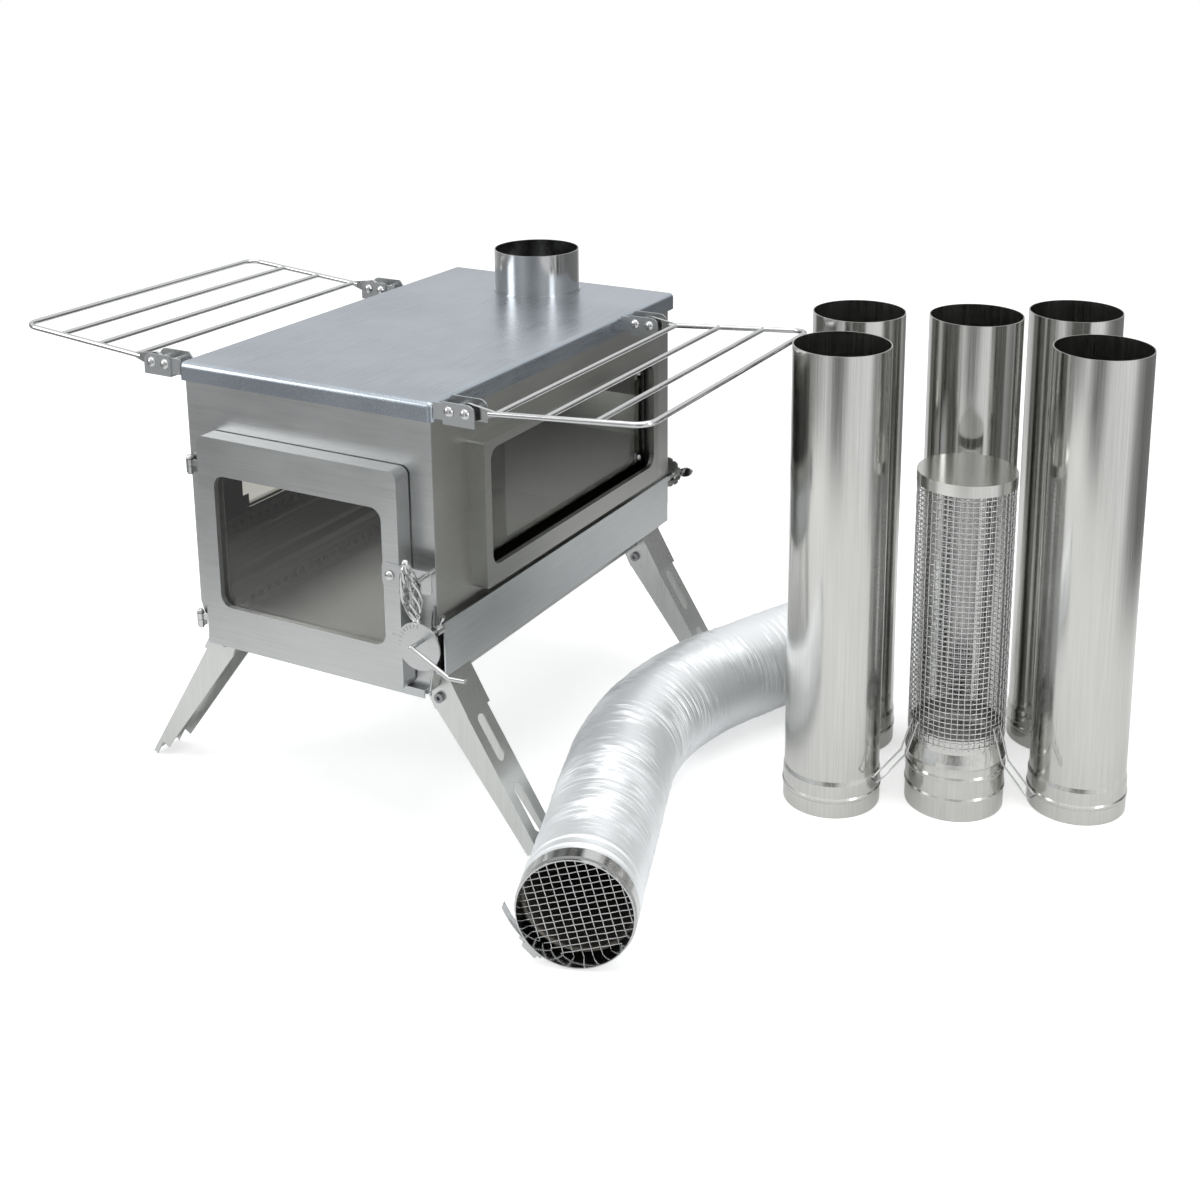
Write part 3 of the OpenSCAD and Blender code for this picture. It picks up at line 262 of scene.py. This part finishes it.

# %% [markdown]
# ## Stove glass
# The panes are glass ceramic, which is faintly brown and mirrors the room. A transmission
# shader gives both. The tint is on the colour, so light that passes twice looks darker.
# Solid glass would stop the lamps' light, so for shadow rays and diffuse rays the pane is a
# thin tinted film that lets it in. The right side pane has a darker tint, which was chosen
# until what shows through it came near its brightness in the photo. Its darker tint and
# film are painted shade.

# %% Glass ceramic
def glass_ceramic(name, tint, film):
    """Glass of one tint, and the colour of the film that lamps shine through."""
    material, tree, shader = start_material(name)
    shader.inputs["Base Color"].default_value = linear(tint)
    shader.inputs["Roughness"].default_value = 0.02
    shader.inputs["IOR"].default_value = 1.5
    shader.inputs["Transmission Weight"].default_value = 1.0
    clear = add_node(tree, "ShaderNodeBsdfTransparent", {"Color": linear(film)})
    path = add_node(tree, "ShaderNodeLightPath")
    soft_ray = add_node(tree, "ShaderNodeMath", None,
                        {0: path.outputs["Is Shadow Ray"], 1: path.outputs["Is Diffuse Ray"]},
                        operation='MAXIMUM')
    both = add_node(tree, "ShaderNodeMixShader", None,
                    {"Fac": soft_ray.outputs[0], 1: shader.outputs[0], 2: clear.outputs[0]})
    tree.links.new(both.outputs[0], tree.nodes["Material Output"].inputs["Surface"])
    return material

door_pane = glass_ceramic("clear_glass_ceramic", "#f2f1ec", "#f0efe8")
# The right pane's darker tint and film are painted shade on the same glass.
shaded_pane = glass_ceramic("glass_ceramic_painted_shade", "#8e8e86", "#aaa99f")
dress(door_pane, "door_glass", "window_glass_left")
dress(shaded_pane, "window_glass_right")

# %% [markdown]
# ## The route of the air hose
# The hose is a free length of foil duct that lies on the floor. It is straight at the
# mouth, bends once and ends behind a pipe and the rear leg. The frame draws it on a line,
# an arc and a line, so the same lengths and the same bend give the same route here.

# %% Hose route
HOSE_START = (0.3120, -0.2819)
HOSE_HEADING = math.radians(110)
HOSE_RUN_A, HOSE_RUN_B = 0.202, 0.174
HOSE_BEND_R, HOSE_BEND = 0.300, math.radians(43)
HOSE_D = 0.100
FLOOR_GAP = 0.0003
HOSE_Z = HOSE_D/2 + FLOOR_GAP
HOSE_ARC = HOSE_BEND_R*HOSE_BEND
HOSE_LENGTH = HOSE_RUN_A + HOSE_ARC + HOSE_RUN_B
ROUTE_STEPS = 24

def hose_at(t):
    """Place and heading at a length along the hose."""
    h = HOSE_HEADING
    x = HOSE_START[0] + min(t, HOSE_RUN_A)*math.cos(h)
    y = HOSE_START[1] + min(t, HOSE_RUN_A)*math.sin(h)
    if t <= HOSE_RUN_A:
        return x, y, h
    a = min((t - HOSE_RUN_A)/HOSE_BEND_R, HOSE_BEND)
    cx, cy = x + HOSE_BEND_R*math.sin(h), y - HOSE_BEND_R*math.cos(h)
    h -= a
    x, y = cx - HOSE_BEND_R*math.sin(h), cy + HOSE_BEND_R*math.cos(h)
    rest = max(t - HOSE_RUN_A - HOSE_ARC, 0)
    return x + rest*math.cos(h), y + rest*math.sin(h), h

for i in range(ROUTE_STEPS + 1):
    x, y, h = hose_at(HOSE_LENGTH*i/ROUTE_STEPS)
print("hose length in mm:", round(HOSE_LENGTH*1000))

# %% [markdown]
# ## Crumpled foil
# Foil duct is a spiral of thin aluminium with a fine corrugation, here one rib in 2.2 mm.
# Handling leaves soft dents and many sharp folds, most of them where the hose bends. Behind
# the clamp the foil is smoothed over the collar's two rings, and after them it is crumpled.
# This cell says how large each of these is, and works out the foil's radius at any point
# from them. FOLDS gives each fold's place along the hose in metres and its strength. The
# last line keeps the foil outside the collars and inside the hose's diameter. It holds
# along the whole hose, so it also flattens the bottoms of the ribs and of the folds.

# %% Foil radius
RIB = 0.0022
RIB_HEIGHT, RIB_MEAN, RIB_VARIES = 0.00055, 0.7, 0.6
MEAN_D = HOSE_D - 0.0020
COLLAR_D = 0.097
COLLAR_SKIN = 0.0004
SOFT_DENT, SMALL_DENT = 0.0008, 0.0007
SMOOTHED_AT, SMOOTHED_WIDTH = 0.010, 0.024
COLLAR_RINGS = ((0.002, 0.0024, 0.0011), (0.014, 0.0028, 0.0009), (0.008, 0.0030, -0.0012))
CRUMPLED_AT, CRUMPLED_WIDTH, CRUMPLE_DEPTH = 0.030, 0.010, 0.0042
FOLD_WIDTH, FOLD_DEPTH, FOLD_REACH, FOLD_SWING = 0.0013, 0.0016, 0.012, 0.0035
FOLD_MEAN, FOLD_VARIES = 0.55, 0.9
FOLDS = ((0.150, 0.5), (0.195, 0.4), (0.240, 0.9), (0.257, 0.9), (0.288, 1.0), (0.300, 1.2),
         (0.309, 1.8), (0.316, 2.0), (0.323, 2.0), (0.330, 1.4), (0.372, 0.5), (0.400, 0.5),
         (0.428, 1.0), (0.435, 1.3), (0.441, 1.6), (0.447, 1.8), (0.452, 1.8), (0.457, 1.6),
         (0.470, 1.2), (0.478, 1.0), (0.530, 1.0))

def bump_at(t, middle, width):
    """A smooth bump of height 1 round one place."""
    return math.exp(-((t - middle)/width)**2)

def tube_noise(t, a, around, along, shift=0):
    """Smooth noise on the tube; around and along say how fine it is each way."""
    return noise.noise(Vector((math.cos(a)*around, math.sin(a)*around, t*along + shift)))

def foil_radius(t, a):
    """Radius of the foil at a length along the hose and an angle round it."""
    ribbed = 1 - bump_at(t, SMOOTHED_AT, SMOOTHED_WIDTH)
    wave = RIB_MEAN + RIB_VARIES*tube_noise(t, a, 5, 150)
    r = MEAN_D/2
    r += RIB_HEIGHT*wave*ribbed*math.cos(2*math.pi*(t/RIB + a/(2*math.pi)))
    r += SOFT_DENT*tube_noise(t, a, 1.6, 18)
    r += SMALL_DENT*ribbed*tube_noise(t, a, 2.2, 230, 7)
    for place, width, height in COLLAR_RINGS:
        r += height*bump_at(t, place, width)
    crumple = bump_at(t, CRUMPLED_AT, CRUMPLED_WIDTH)
    r -= crumple*CRUMPLE_DEPTH*abs(tube_noise(t, a, 7, 150, 3))
    for place, strength in FOLDS:
        if abs(t - place) < FOLD_REACH:
            swing = place + FOLD_SWING*tube_noise(place, a, 1.3, 50)
            deep = FOLD_MEAN + FOLD_VARIES*tube_noise(place, a, 2.1, 90, 20)
            r -= FOLD_DEPTH*strength*max(deep, 0)*bump_at(t, swing, FOLD_WIDTH)
    return min(max(r, COLLAR_D/2 + COLLAR_SKIN), HOSE_D/2)

print("folds:", len(FOLDS))

# %% [markdown]
# ## The foil tube
# A tube is swept along the route ring by ring, and each ring asks the function above for
# its radius. The mouth shows the inside too, so the sweep turns back at the far end and
# runs through the bore, with wider wrinkles. The foil reaches 5.5 mm over each collar, up to
# the band clamp, and the collar fills that part of the bore.

# %% Foil tube
SIDES = 80
RINGS_PER_RIB = 4
BORE_STEPS = 90
FOIL_BACK = 0.0055
COLLAR_GAP = 0.0001
BORE_LIP = 0.0004
BORE_DEEP, BORE_WRINKLE = 0.0016, 0.0034

def hose_ring(t, radius_of):
    """One ring of points round the route, kept above the floor."""
    x, y, h = hose_at(t)
    ring = []
    for j in range(SIDES):
        a = 2*math.pi*j/SIDES
        r = radius_of(t, a)
        ring.append((x + r*math.sin(a)*math.sin(h), y - r*math.sin(a)*math.cos(h),
                     max(HOSE_Z - r*math.cos(a), FLOOR_GAP)))
    return ring

def bore_radius(t, a):
    """Radius of the crumpled inside of the foil."""
    if t <= 0 or t >= HOSE_LENGTH:
        return COLLAR_D/2 + COLLAR_GAP
    return COLLAR_D/2 - BORE_DEEP - BORE_WRINKLE*abs(tube_noise(t, a, 5, 90, 11))

def sweep_foil(steps, bore_steps):
    """Points and faces of the foil: its outside, then its inside back to the mouth."""
    points = []
    for i in range(steps + 1):
        points += hose_ring((HOSE_LENGTH + 2*FOIL_BACK)*i/steps - FOIL_BACK, foil_radius)
    bore = [HOSE_LENGTH*i/bore_steps for i in range(bore_steps + 1)]
    bore = ([-FOIL_BACK, 0, BORE_LIP] + bore[1:-1]
            + [HOSE_LENGTH - BORE_LIP, HOSE_LENGTH, HOSE_LENGTH + FOIL_BACK])
    for t in reversed(bore):
        points += hose_ring(t, bore_radius)
    rings = steps + 1 + len(bore)
    faces = []
    for i in range(rings):
        for j in range(SIDES):
            k, n = (i + 1) % rings, (j + 1) % SIDES
            faces.append((i*SIDES + j, k*SIDES + j, k*SIDES + n, i*SIDES + n))
    return points, faces

def mesh_piece(name, points, faces):
    """Make an object of a mesh, turn its faces outward and shade it smooth."""
    mesh = bpy.data.meshes.new(name)
    mesh.from_pydata(points, [], faces)
    piece = bpy.data.objects.new(name, mesh)
    bpy.context.collection.objects.link(piece)
    bpy.ops.object.select_all(action='DESELECT')
    piece.select_set(True)
    bpy.context.view_layer.objects.active = piece
    bpy.ops.object.mode_set(mode='EDIT')
    bpy.ops.mesh.select_all(action='SELECT')
    bpy.ops.mesh.normals_make_consistent(inside=False)
    bpy.ops.object.mode_set(mode='OBJECT')
    bpy.ops.object.shade_smooth()
    return piece

foil_steps = int(HOSE_LENGTH/RIB*RINGS_PER_RIB)
points, faces = sweep_foil(foil_steps, BORE_STEPS)
foil_hose = mesh_piece("foil_hose", points, faces)
print("foil faces:", len(faces))

# %% [markdown]
# ## Foil finish
# Aluminium foil is bright, and its smallest wrinkles are too fine for the mesh, so noise
# bumps the outside. The photo shows it nearly white with broad highlights, which a high
# roughness gives. In the mouth the inside looks dull and dark, so the same foil there gets
# a dark grey, which is painted shade.

# %% Foil material
foil, tree, shader = start_material("aluminium_foil_duct")
where = add_node(tree, "ShaderNodeTexCoord")
wrinkles = add_node(tree, "ShaderNodeTexNoise",
                    {"Scale": 260.0, "Detail": 6.0, "Roughness": 0.65},
                    {"Vector": where.outputs["Object"]})
relief = add_node(tree, "ShaderNodeBump", {"Strength": 0.35, "Distance": 0.0006},
                  {"Height": wrinkles.outputs["Fac"]})
tree.links.new(relief.outputs[0], shader.inputs["Normal"])
shader.inputs["Base Color"].default_value = linear("#f4f7f9")
shader.inputs["Metallic"].default_value = 0.7
shader.inputs["Roughness"].default_value = 0.46
foil_hose.data.materials.append(foil)

shaded_foil_inside, tree, shader = start_material("foil_duct_inside_painted_shade")
# Painted shade: the inside is the same foil, given a dark grey.
shader.inputs["Base Color"].default_value = linear("#77736c")
shader.inputs["Metallic"].default_value = 0.7
shader.inputs["Roughness"].default_value = 0.45
foil_hose.data.materials.append(shaded_foil_inside)
inner_faces = foil_hose.data.polygons[(foil_steps + 1)*SIDES:]
for face in inner_faces:
    face.material_index = 1

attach(foil_hose, "air_hose")
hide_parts("hose_duct")
print("faces of the inside:", len(inner_faces))

# %% [markdown]
# ## Woven wire
# The arrestor's screen and the screen in the hose's mouth are woven from wire, here 1 mm
# thick and 5 to 8 mm apart. Each wire passes over one neighbour and under the next. The
# frame holds a thin sheet with square holes in the place of each screen, because so many
# round wires would be heavy there. Here one function sweeps a six-sided wire along a path.

# %% Wire helpers
WIRE_R = 0.0005
WIRE_SIDES = 6
WEAVE = 0.0003

def sweep_wire(points, faces, path, outward, closed=False):
    """Add a round wire along a path; outward gives a side direction at each point."""
    start, n = len(points), len(path)
    for i in range(n):
        ahead = path[(i + 1) % n] if closed or i < n - 1 else path[i]
        behind = path[i - 1] if closed or i > 0 else path[i]
        along = (ahead - behind).normalized()
        across = along.cross(outward[i]).normalized()
        up = across.cross(along)
        for k in range(WIRE_SIDES):
            a = 2*math.pi*k/WIRE_SIDES
            points.append(path[i] + WIRE_R*(math.cos(a)*across + math.sin(a)*up))
    for i in range(n if closed else n - 1):
        j = (i + 1) % n
        for k in range(WIRE_SIDES):
            m = (k + 1) % WIRE_SIDES
            faces.append((start + i*WIRE_SIDES + k, start + j*WIRE_SIDES + k,
                          start + j*WIRE_SIDES + m, start + i*WIRE_SIDES + m))
    if not closed:
        last = start + (n - 1)*WIRE_SIDES
        faces.append([start + k for k in range(WIRE_SIDES)])
        faces.append([last + k for k in reversed(range(WIRE_SIDES))])

def woven_piece(name, points, faces, body, node):
    """Make a piece of the wires and put it in the place of a CAD node."""
    piece = mesh_piece(name, points, faces)
    piece.data.materials.append(bright)
    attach(piece, body)
    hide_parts(node)

print("wire diameter in mm:", 2*WIRE_R*1000)

# %% [markdown]
# ## The arrestor's screen
# The screen that stops sparks is a tube of woven wire between the arrestor's base and its
# cap. Upright wires stand round the tube, and level rings close round them. The number of
# uprights is even, so that over and under still take turns where a ring closes. The first
# ring lies FIRST_ROW of a row above the screen's lower edge.

# %% Arrestor screen
ROW_PITCH = 0.0050
COLUMN_PITCH = 0.0056
FIRST_ROW = 0.3

low, high = [Vector(v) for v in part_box("arrestor_mesh")]
mid = (low + high)/2
screen_r = (high.x - low.x)/2 - WEAVE
rows = round((high.z - low.z)/ROW_PITCH)
columns = 2*round(math.pi*screen_r/COLUMN_PITCH)
row_z = [low.z + (k + FIRST_ROW)*(high.z - low.z)/rows for k in range(rows)]
upright_z = [low.z] + row_z + [high.z]
points, faces = [], []
for c in range(columns):
    a = 2*math.pi*c/columns
    out = Vector((math.cos(a), math.sin(a), 0))
    reach = [screen_r] + [screen_r + WEAVE*(-1)**(c + k) for k in range(rows)] + [screen_r]
    path = [Vector((mid.x, mid.y, z)) + r*out for r, z in zip(reach, upright_z)]
    sweep_wire(points, faces, path, [out]*len(path))
for k in range(rows):
    path, outs = [], []
    for h in range(2*columns):
        a = math.pi*h/columns
        out = Vector((math.cos(a), math.sin(a), 0))
        r = screen_r - (WEAVE*(-1)**(h//2 + k) if h % 2 == 0 else 0)
        path.append(Vector((mid.x, mid.y, row_z[k])) + r*out)
        outs.append(out)
    sweep_wire(points, faces, path, outs, closed=True)
woven_piece("arrestor_screen", points, faces, "spark_arrestor", "arrestor_mesh")
print("arrestor screen:", rows, "rows and", columns, "columns")

# %% [markdown]
# ## The screen in the hose's mouth
# A flat disc of woven wire sits in the collar at the mouth. In the photo its wires are
# turned a little against the floor, and those that run level lie closer together than the
# others. Both sets are cut to the length that fits in the collar's round bore.

# %% Mouth screen
MOUTH_R = 0.0475
MOUTH_BACK = 0.008
MOUTH_TURN = math.radians(15)
LEVEL_PITCH = 0.0057
UPRIGHT_PITCH = 0.0079
RIM_CLEAR = 0.003
END_CLEAR = 0.001

x, y, h = hose_at(0)
inward = Vector((math.cos(h), math.sin(h), 0))
right = Vector((math.sin(h), -math.cos(h), 0))
level = math.cos(MOUTH_TURN)*right + math.sin(MOUTH_TURN)*Vector((0, 0, 1))
upright = inward.cross(level)
middle = Vector((x, y, HOSE_Z)) - MOUTH_BACK*inward
points, faces, wires = [], [], 0
for run, step, gap, stop, sign in ((level, upright, LEVEL_PITCH, UPRIGHT_PITCH, 1),
                                   (upright, level, UPRIGHT_PITCH, LEVEL_PITCH, -1)):
    count = int((MOUTH_R - RIM_CLEAR)/gap)
    for i in range(-count, count + 1):
        half = math.sqrt(MOUTH_R**2 - (i*gap)**2)
        last = int((half - END_CLEAR)/stop)
        stops = [(j*stop, sign*WEAVE*(-1)**(i + j)) for j in range(-last, last + 1)]
        stops = [(-half, 0)] + stops + [(half, 0)]
        path = [middle + i*gap*step + s*run + lift*inward for s, lift in stops]
        sweep_wire(points, faces, path, [inward]*len(path))
        wires += 1
woven_piece("mouth_screen", points, faces, "air_hose", "hose_screen")
print("mouth screen wires:", wires)

# %% [markdown]
# ## The studio that steel mirrors
# Bright steel needs something to reflect, so the studio is written down first. STUDIO lists
# how bright it is in each direction, as an angle in degrees round from the X axis and a
# grey. Seen from the set's middle there are two bright soft boxes on the left and the right
# of the photographer, and the dark photographer stands between them. The left side and the
# right rear are dark, and the left rear is pale. The list was chosen until the reflections
# came near those in the photo. Only reflections show it: the camera sees plain white.

# %% Studio room
STUDIO = [(-180, 0.30), (-140, 0.34), (-124, 0.48), (-114, 0.62), (-98, 0.85), (-84, 0.40),
          (-74, 0.22), (-60, 0.32), (-44, 0.90), (2, 1.00), (16, 0.42), (34, 0.20), (92, 0.26),
          (116, 0.80), (150, 0.62), (180, 0.30)]
BLUE_CAST = 1.01

def room_grey(tree, direction):
    """Brightness of the studio in the direction of a vector."""
    turn = add_node(tree, "ShaderNodeTexGradient", None, {"Vector": direction},
                    gradient_type='RADIAL')
    ramp = add_node(tree, "ShaderNodeValToRGB", None, {"Fac": turn.outputs["Fac"]})
    stops = ramp.color_ramp.elements
    while len(stops) < len(STUDIO):
        stops.new(0.5)
    for stop, (azimuth, grey) in zip(stops, STUDIO):
        stop.position = azimuth/360 + 0.5
        stop.color = (grey, grey, grey*BLUE_CAST, 1)
    return ramp

print("directions in the studio:", len(STUDIO))

# %% [markdown]
# ## The floor
# The stove stands on white paper. The camera sees the paper with a glow of SEEN_GLOW added,
# so that it comes out white and still keeps the shadow. Diffuse rays get no glow, so it
# lights nothing. The rays that Light Path calls glossy see a weaker glow, MIRROR_GLOW, which
# grows in front on the left by up to LEFT_GLOW. Between the two distances of PAPER_EDGE from
# the set's middle, in metres, the mirrored paper gives way to the studio's room.

# %% Floor
PAPER_MIDDLE = (0.28, -0.08, 0.0)
PAPER_EDGE = (0.68, 1.15)
SEEN_GLOW = 0.50
MIRROR_GLOW, LEFT_GLOW = 0.12, 0.28
GLOW_X, GLOW_Y = (0.3, -0.1), (-0.55, -0.85)
FLOOR_SIZE, FLOOR_Z = 14, -0.0002

bpy.ops.mesh.primitive_plane_add(size=FLOOR_SIZE, location=(0, 0, FLOOR_Z))
floor = bpy.context.object
floor.name = "studio_floor"
floor_paint, tree, shader = start_material("white_paper_floor")
shader.inputs["Base Color"].default_value = linear("#f4f4f4")
shader.inputs["Roughness"].default_value = 0.9
shader.inputs["Specular IOR Level"].default_value = 0.0
where = add_node(tree, "ShaderNodeNewGeometry")
from_middle = add_node(tree, "ShaderNodeVectorMath", {1: PAPER_MIDDLE},
                       {0: where.outputs["Position"]}, operation='SUBTRACT')
reach = add_node(tree, "ShaderNodeVectorMath", None, {0: from_middle.outputs[0]},
                 operation='LENGTH')
beyond = add_node(tree, "ShaderNodeMapRange",
                  {"From Min": PAPER_EDGE[0], "From Max": PAPER_EDGE[1]},
                  {"Value": reach.outputs["Value"]}, interpolation_type='SMOOTHSTEP')
path = add_node(tree, "ShaderNodeLightPath")
far_mirror = add_node(tree, "ShaderNodeMath", None,
                      {0: beyond.outputs[0], 1: path.outputs["Is Glossy Ray"]},
                      operation='MULTIPLY')
room = room_grey(tree, from_middle.outputs[0])
across = add_node(tree, "ShaderNodeSeparateXYZ", None, {0: where.outputs["Position"]})
left = add_node(tree, "ShaderNodeMapRange",
                {"From Min": GLOW_X[0], "From Max": GLOW_X[1],
                 "To Min": 0.0, "To Max": LEFT_GLOW},
                {"Value": across.outputs["X"]})
front = add_node(tree, "ShaderNodeMapRange",
                 {"From Min": GLOW_Y[0], "From Max": GLOW_Y[1]},
                 {"Value": across.outputs["Y"]}, interpolation_type='SMOOTHSTEP')
mirror_glow = add_node(tree, "ShaderNodeMath", {2: MIRROR_GLOW},
                       {0: left.outputs[0], 1: front.outputs[0]}, operation='MULTIPLY_ADD')
seen_glow = add_node(tree, "ShaderNodeMath", {0: SEEN_GLOW},
                     {1: path.outputs["Is Diffuse Ray"]},
                     operation='SUBTRACT', use_clamp=True)
glow_mix = add_node(tree, "ShaderNodeMix", None,
                    {"Factor": path.outputs["Is Glossy Ray"], "A": seen_glow.outputs[0],
                     "B": mirror_glow.outputs[0]})
glow = add_node(tree, "ShaderNodeEmission", {"Color": (1, 1, 1, 1)},
                {"Strength": glow_mix.outputs["Result"]})
paper = add_node(tree, "ShaderNodeAddShader", None,
                 {0: shader.outputs[0], 1: glow.outputs[0]})
dim = add_node(tree, "ShaderNodeEmission", {"Strength": 1.0}, {"Color": room.outputs[0]})
ground = add_node(tree, "ShaderNodeMixShader", None,
                  {"Fac": far_mirror.outputs[0], 1: paper.outputs[0], 2: dim.outputs[0]})
tree.links.new(ground.outputs[0], tree.nodes["Material Output"].inputs["Surface"])
floor.data.materials.append(floor_paint)
print("floor in metres:", FLOOR_SIZE)

# %% [markdown]
# ## The room round the set
# The world does for the air what the floor does for the ground. The camera and the glass
# see plain white. Reflections see the studio's ring of greys, which turns into a bright
# ceiling higher up. All other rays get a soft, even light, as from white walls.

# %% World
ROOM_LIGHT = 0.55
CEILING = (1.1, 1.1, 1.1, 1)
CEILING_FROM, CEILING_FULL = 0.16, 0.5

world = bpy.data.worlds.new("studio_room")
bpy.context.scene.world = world
world.use_nodes = True
tree = world.node_tree
soft = tree.nodes["Background"]
soft.inputs["Color"].default_value = (1, 1, 1, 1)
soft.inputs["Strength"].default_value = ROOM_LIGHT
where = add_node(tree, "ShaderNodeTexCoord")
side = room_grey(tree, where.outputs["Generated"])
height = add_node(tree, "ShaderNodeSeparateXYZ", None, {0: where.outputs["Generated"]})
upper = add_node(tree, "ShaderNodeMapRange",
                 {"From Min": CEILING_FROM, "From Max": CEILING_FULL},
                 {"Value": height.outputs["Z"]}, interpolation_type='SMOOTHSTEP')
room = add_node(tree, "ShaderNodeMix", {"B": CEILING},
                {"Factor": upper.outputs[0], "A": side.outputs[0]}, data_type='RGBA')
mirrored = add_node(tree, "ShaderNodeBackground", {"Strength": 1.0},
                    {"Color": room.outputs["Result"]})
seen = add_node(tree, "ShaderNodeBackground", {"Color": (1, 1, 1, 1), "Strength": 1.0})
path = add_node(tree, "ShaderNodeLightPath")
glossy = add_node(tree, "ShaderNodeMixShader", None,
                  {"Fac": path.outputs["Is Glossy Ray"], 1: soft.outputs[0],
                   2: mirrored.outputs[0]})
straight = add_node(tree, "ShaderNodeMath", None,
                    {0: path.outputs["Is Camera Ray"], 1: path.outputs["Is Transmission Ray"]},
                    operation='MAXIMUM')
camera_or = add_node(tree, "ShaderNodeMixShader", None,
                     {"Fac": straight.outputs[0], 1: glossy.outputs[0], 2: seen.outputs[0]})
tree.links.new(camera_or.outputs[0], tree.nodes["World Output"].inputs["Surface"])
print("room light:", ROOM_LIGHT)

# %% [markdown]
# ## The lamps
# The main light is a wide soft box overhead, which keeps the shadows soft and under the
# set. A second one on the left lights the front, and a weak one on the right fills the
# side. Each is aimed at the stove.

# %% Lamps
LAMP_TARGET = (0.1, 0, 0.25)

def soft_box(name, place, size, watts):
    """A rectangular lamp, aimed at the stove."""
    bpy.ops.object.light_add(type='AREA', location=place)
    lamp = bpy.context.object
    lamp.name = name
    lamp.data.shape = 'RECTANGLE'
    lamp.data.size, lamp.data.size_y = size
    lamp.data.energy = watts
    aim = Vector(LAMP_TARGET) - Vector(place)
    lamp.rotation_euler = aim.to_track_quat('-Z', 'Y').to_euler()
    print(name, "of", watts, "W")

soft_box("top_light", place=(0.1, -0.2, 2.3), size=(2.2, 1.6), watts=26)
soft_box("left_light", place=(-1.7, -1.6, 1.2), size=(0.9, 1.6), watts=16)
soft_box("right_light", place=(2.4, -0.6, 1.0), size=(0.5, 1.6), watts=8)
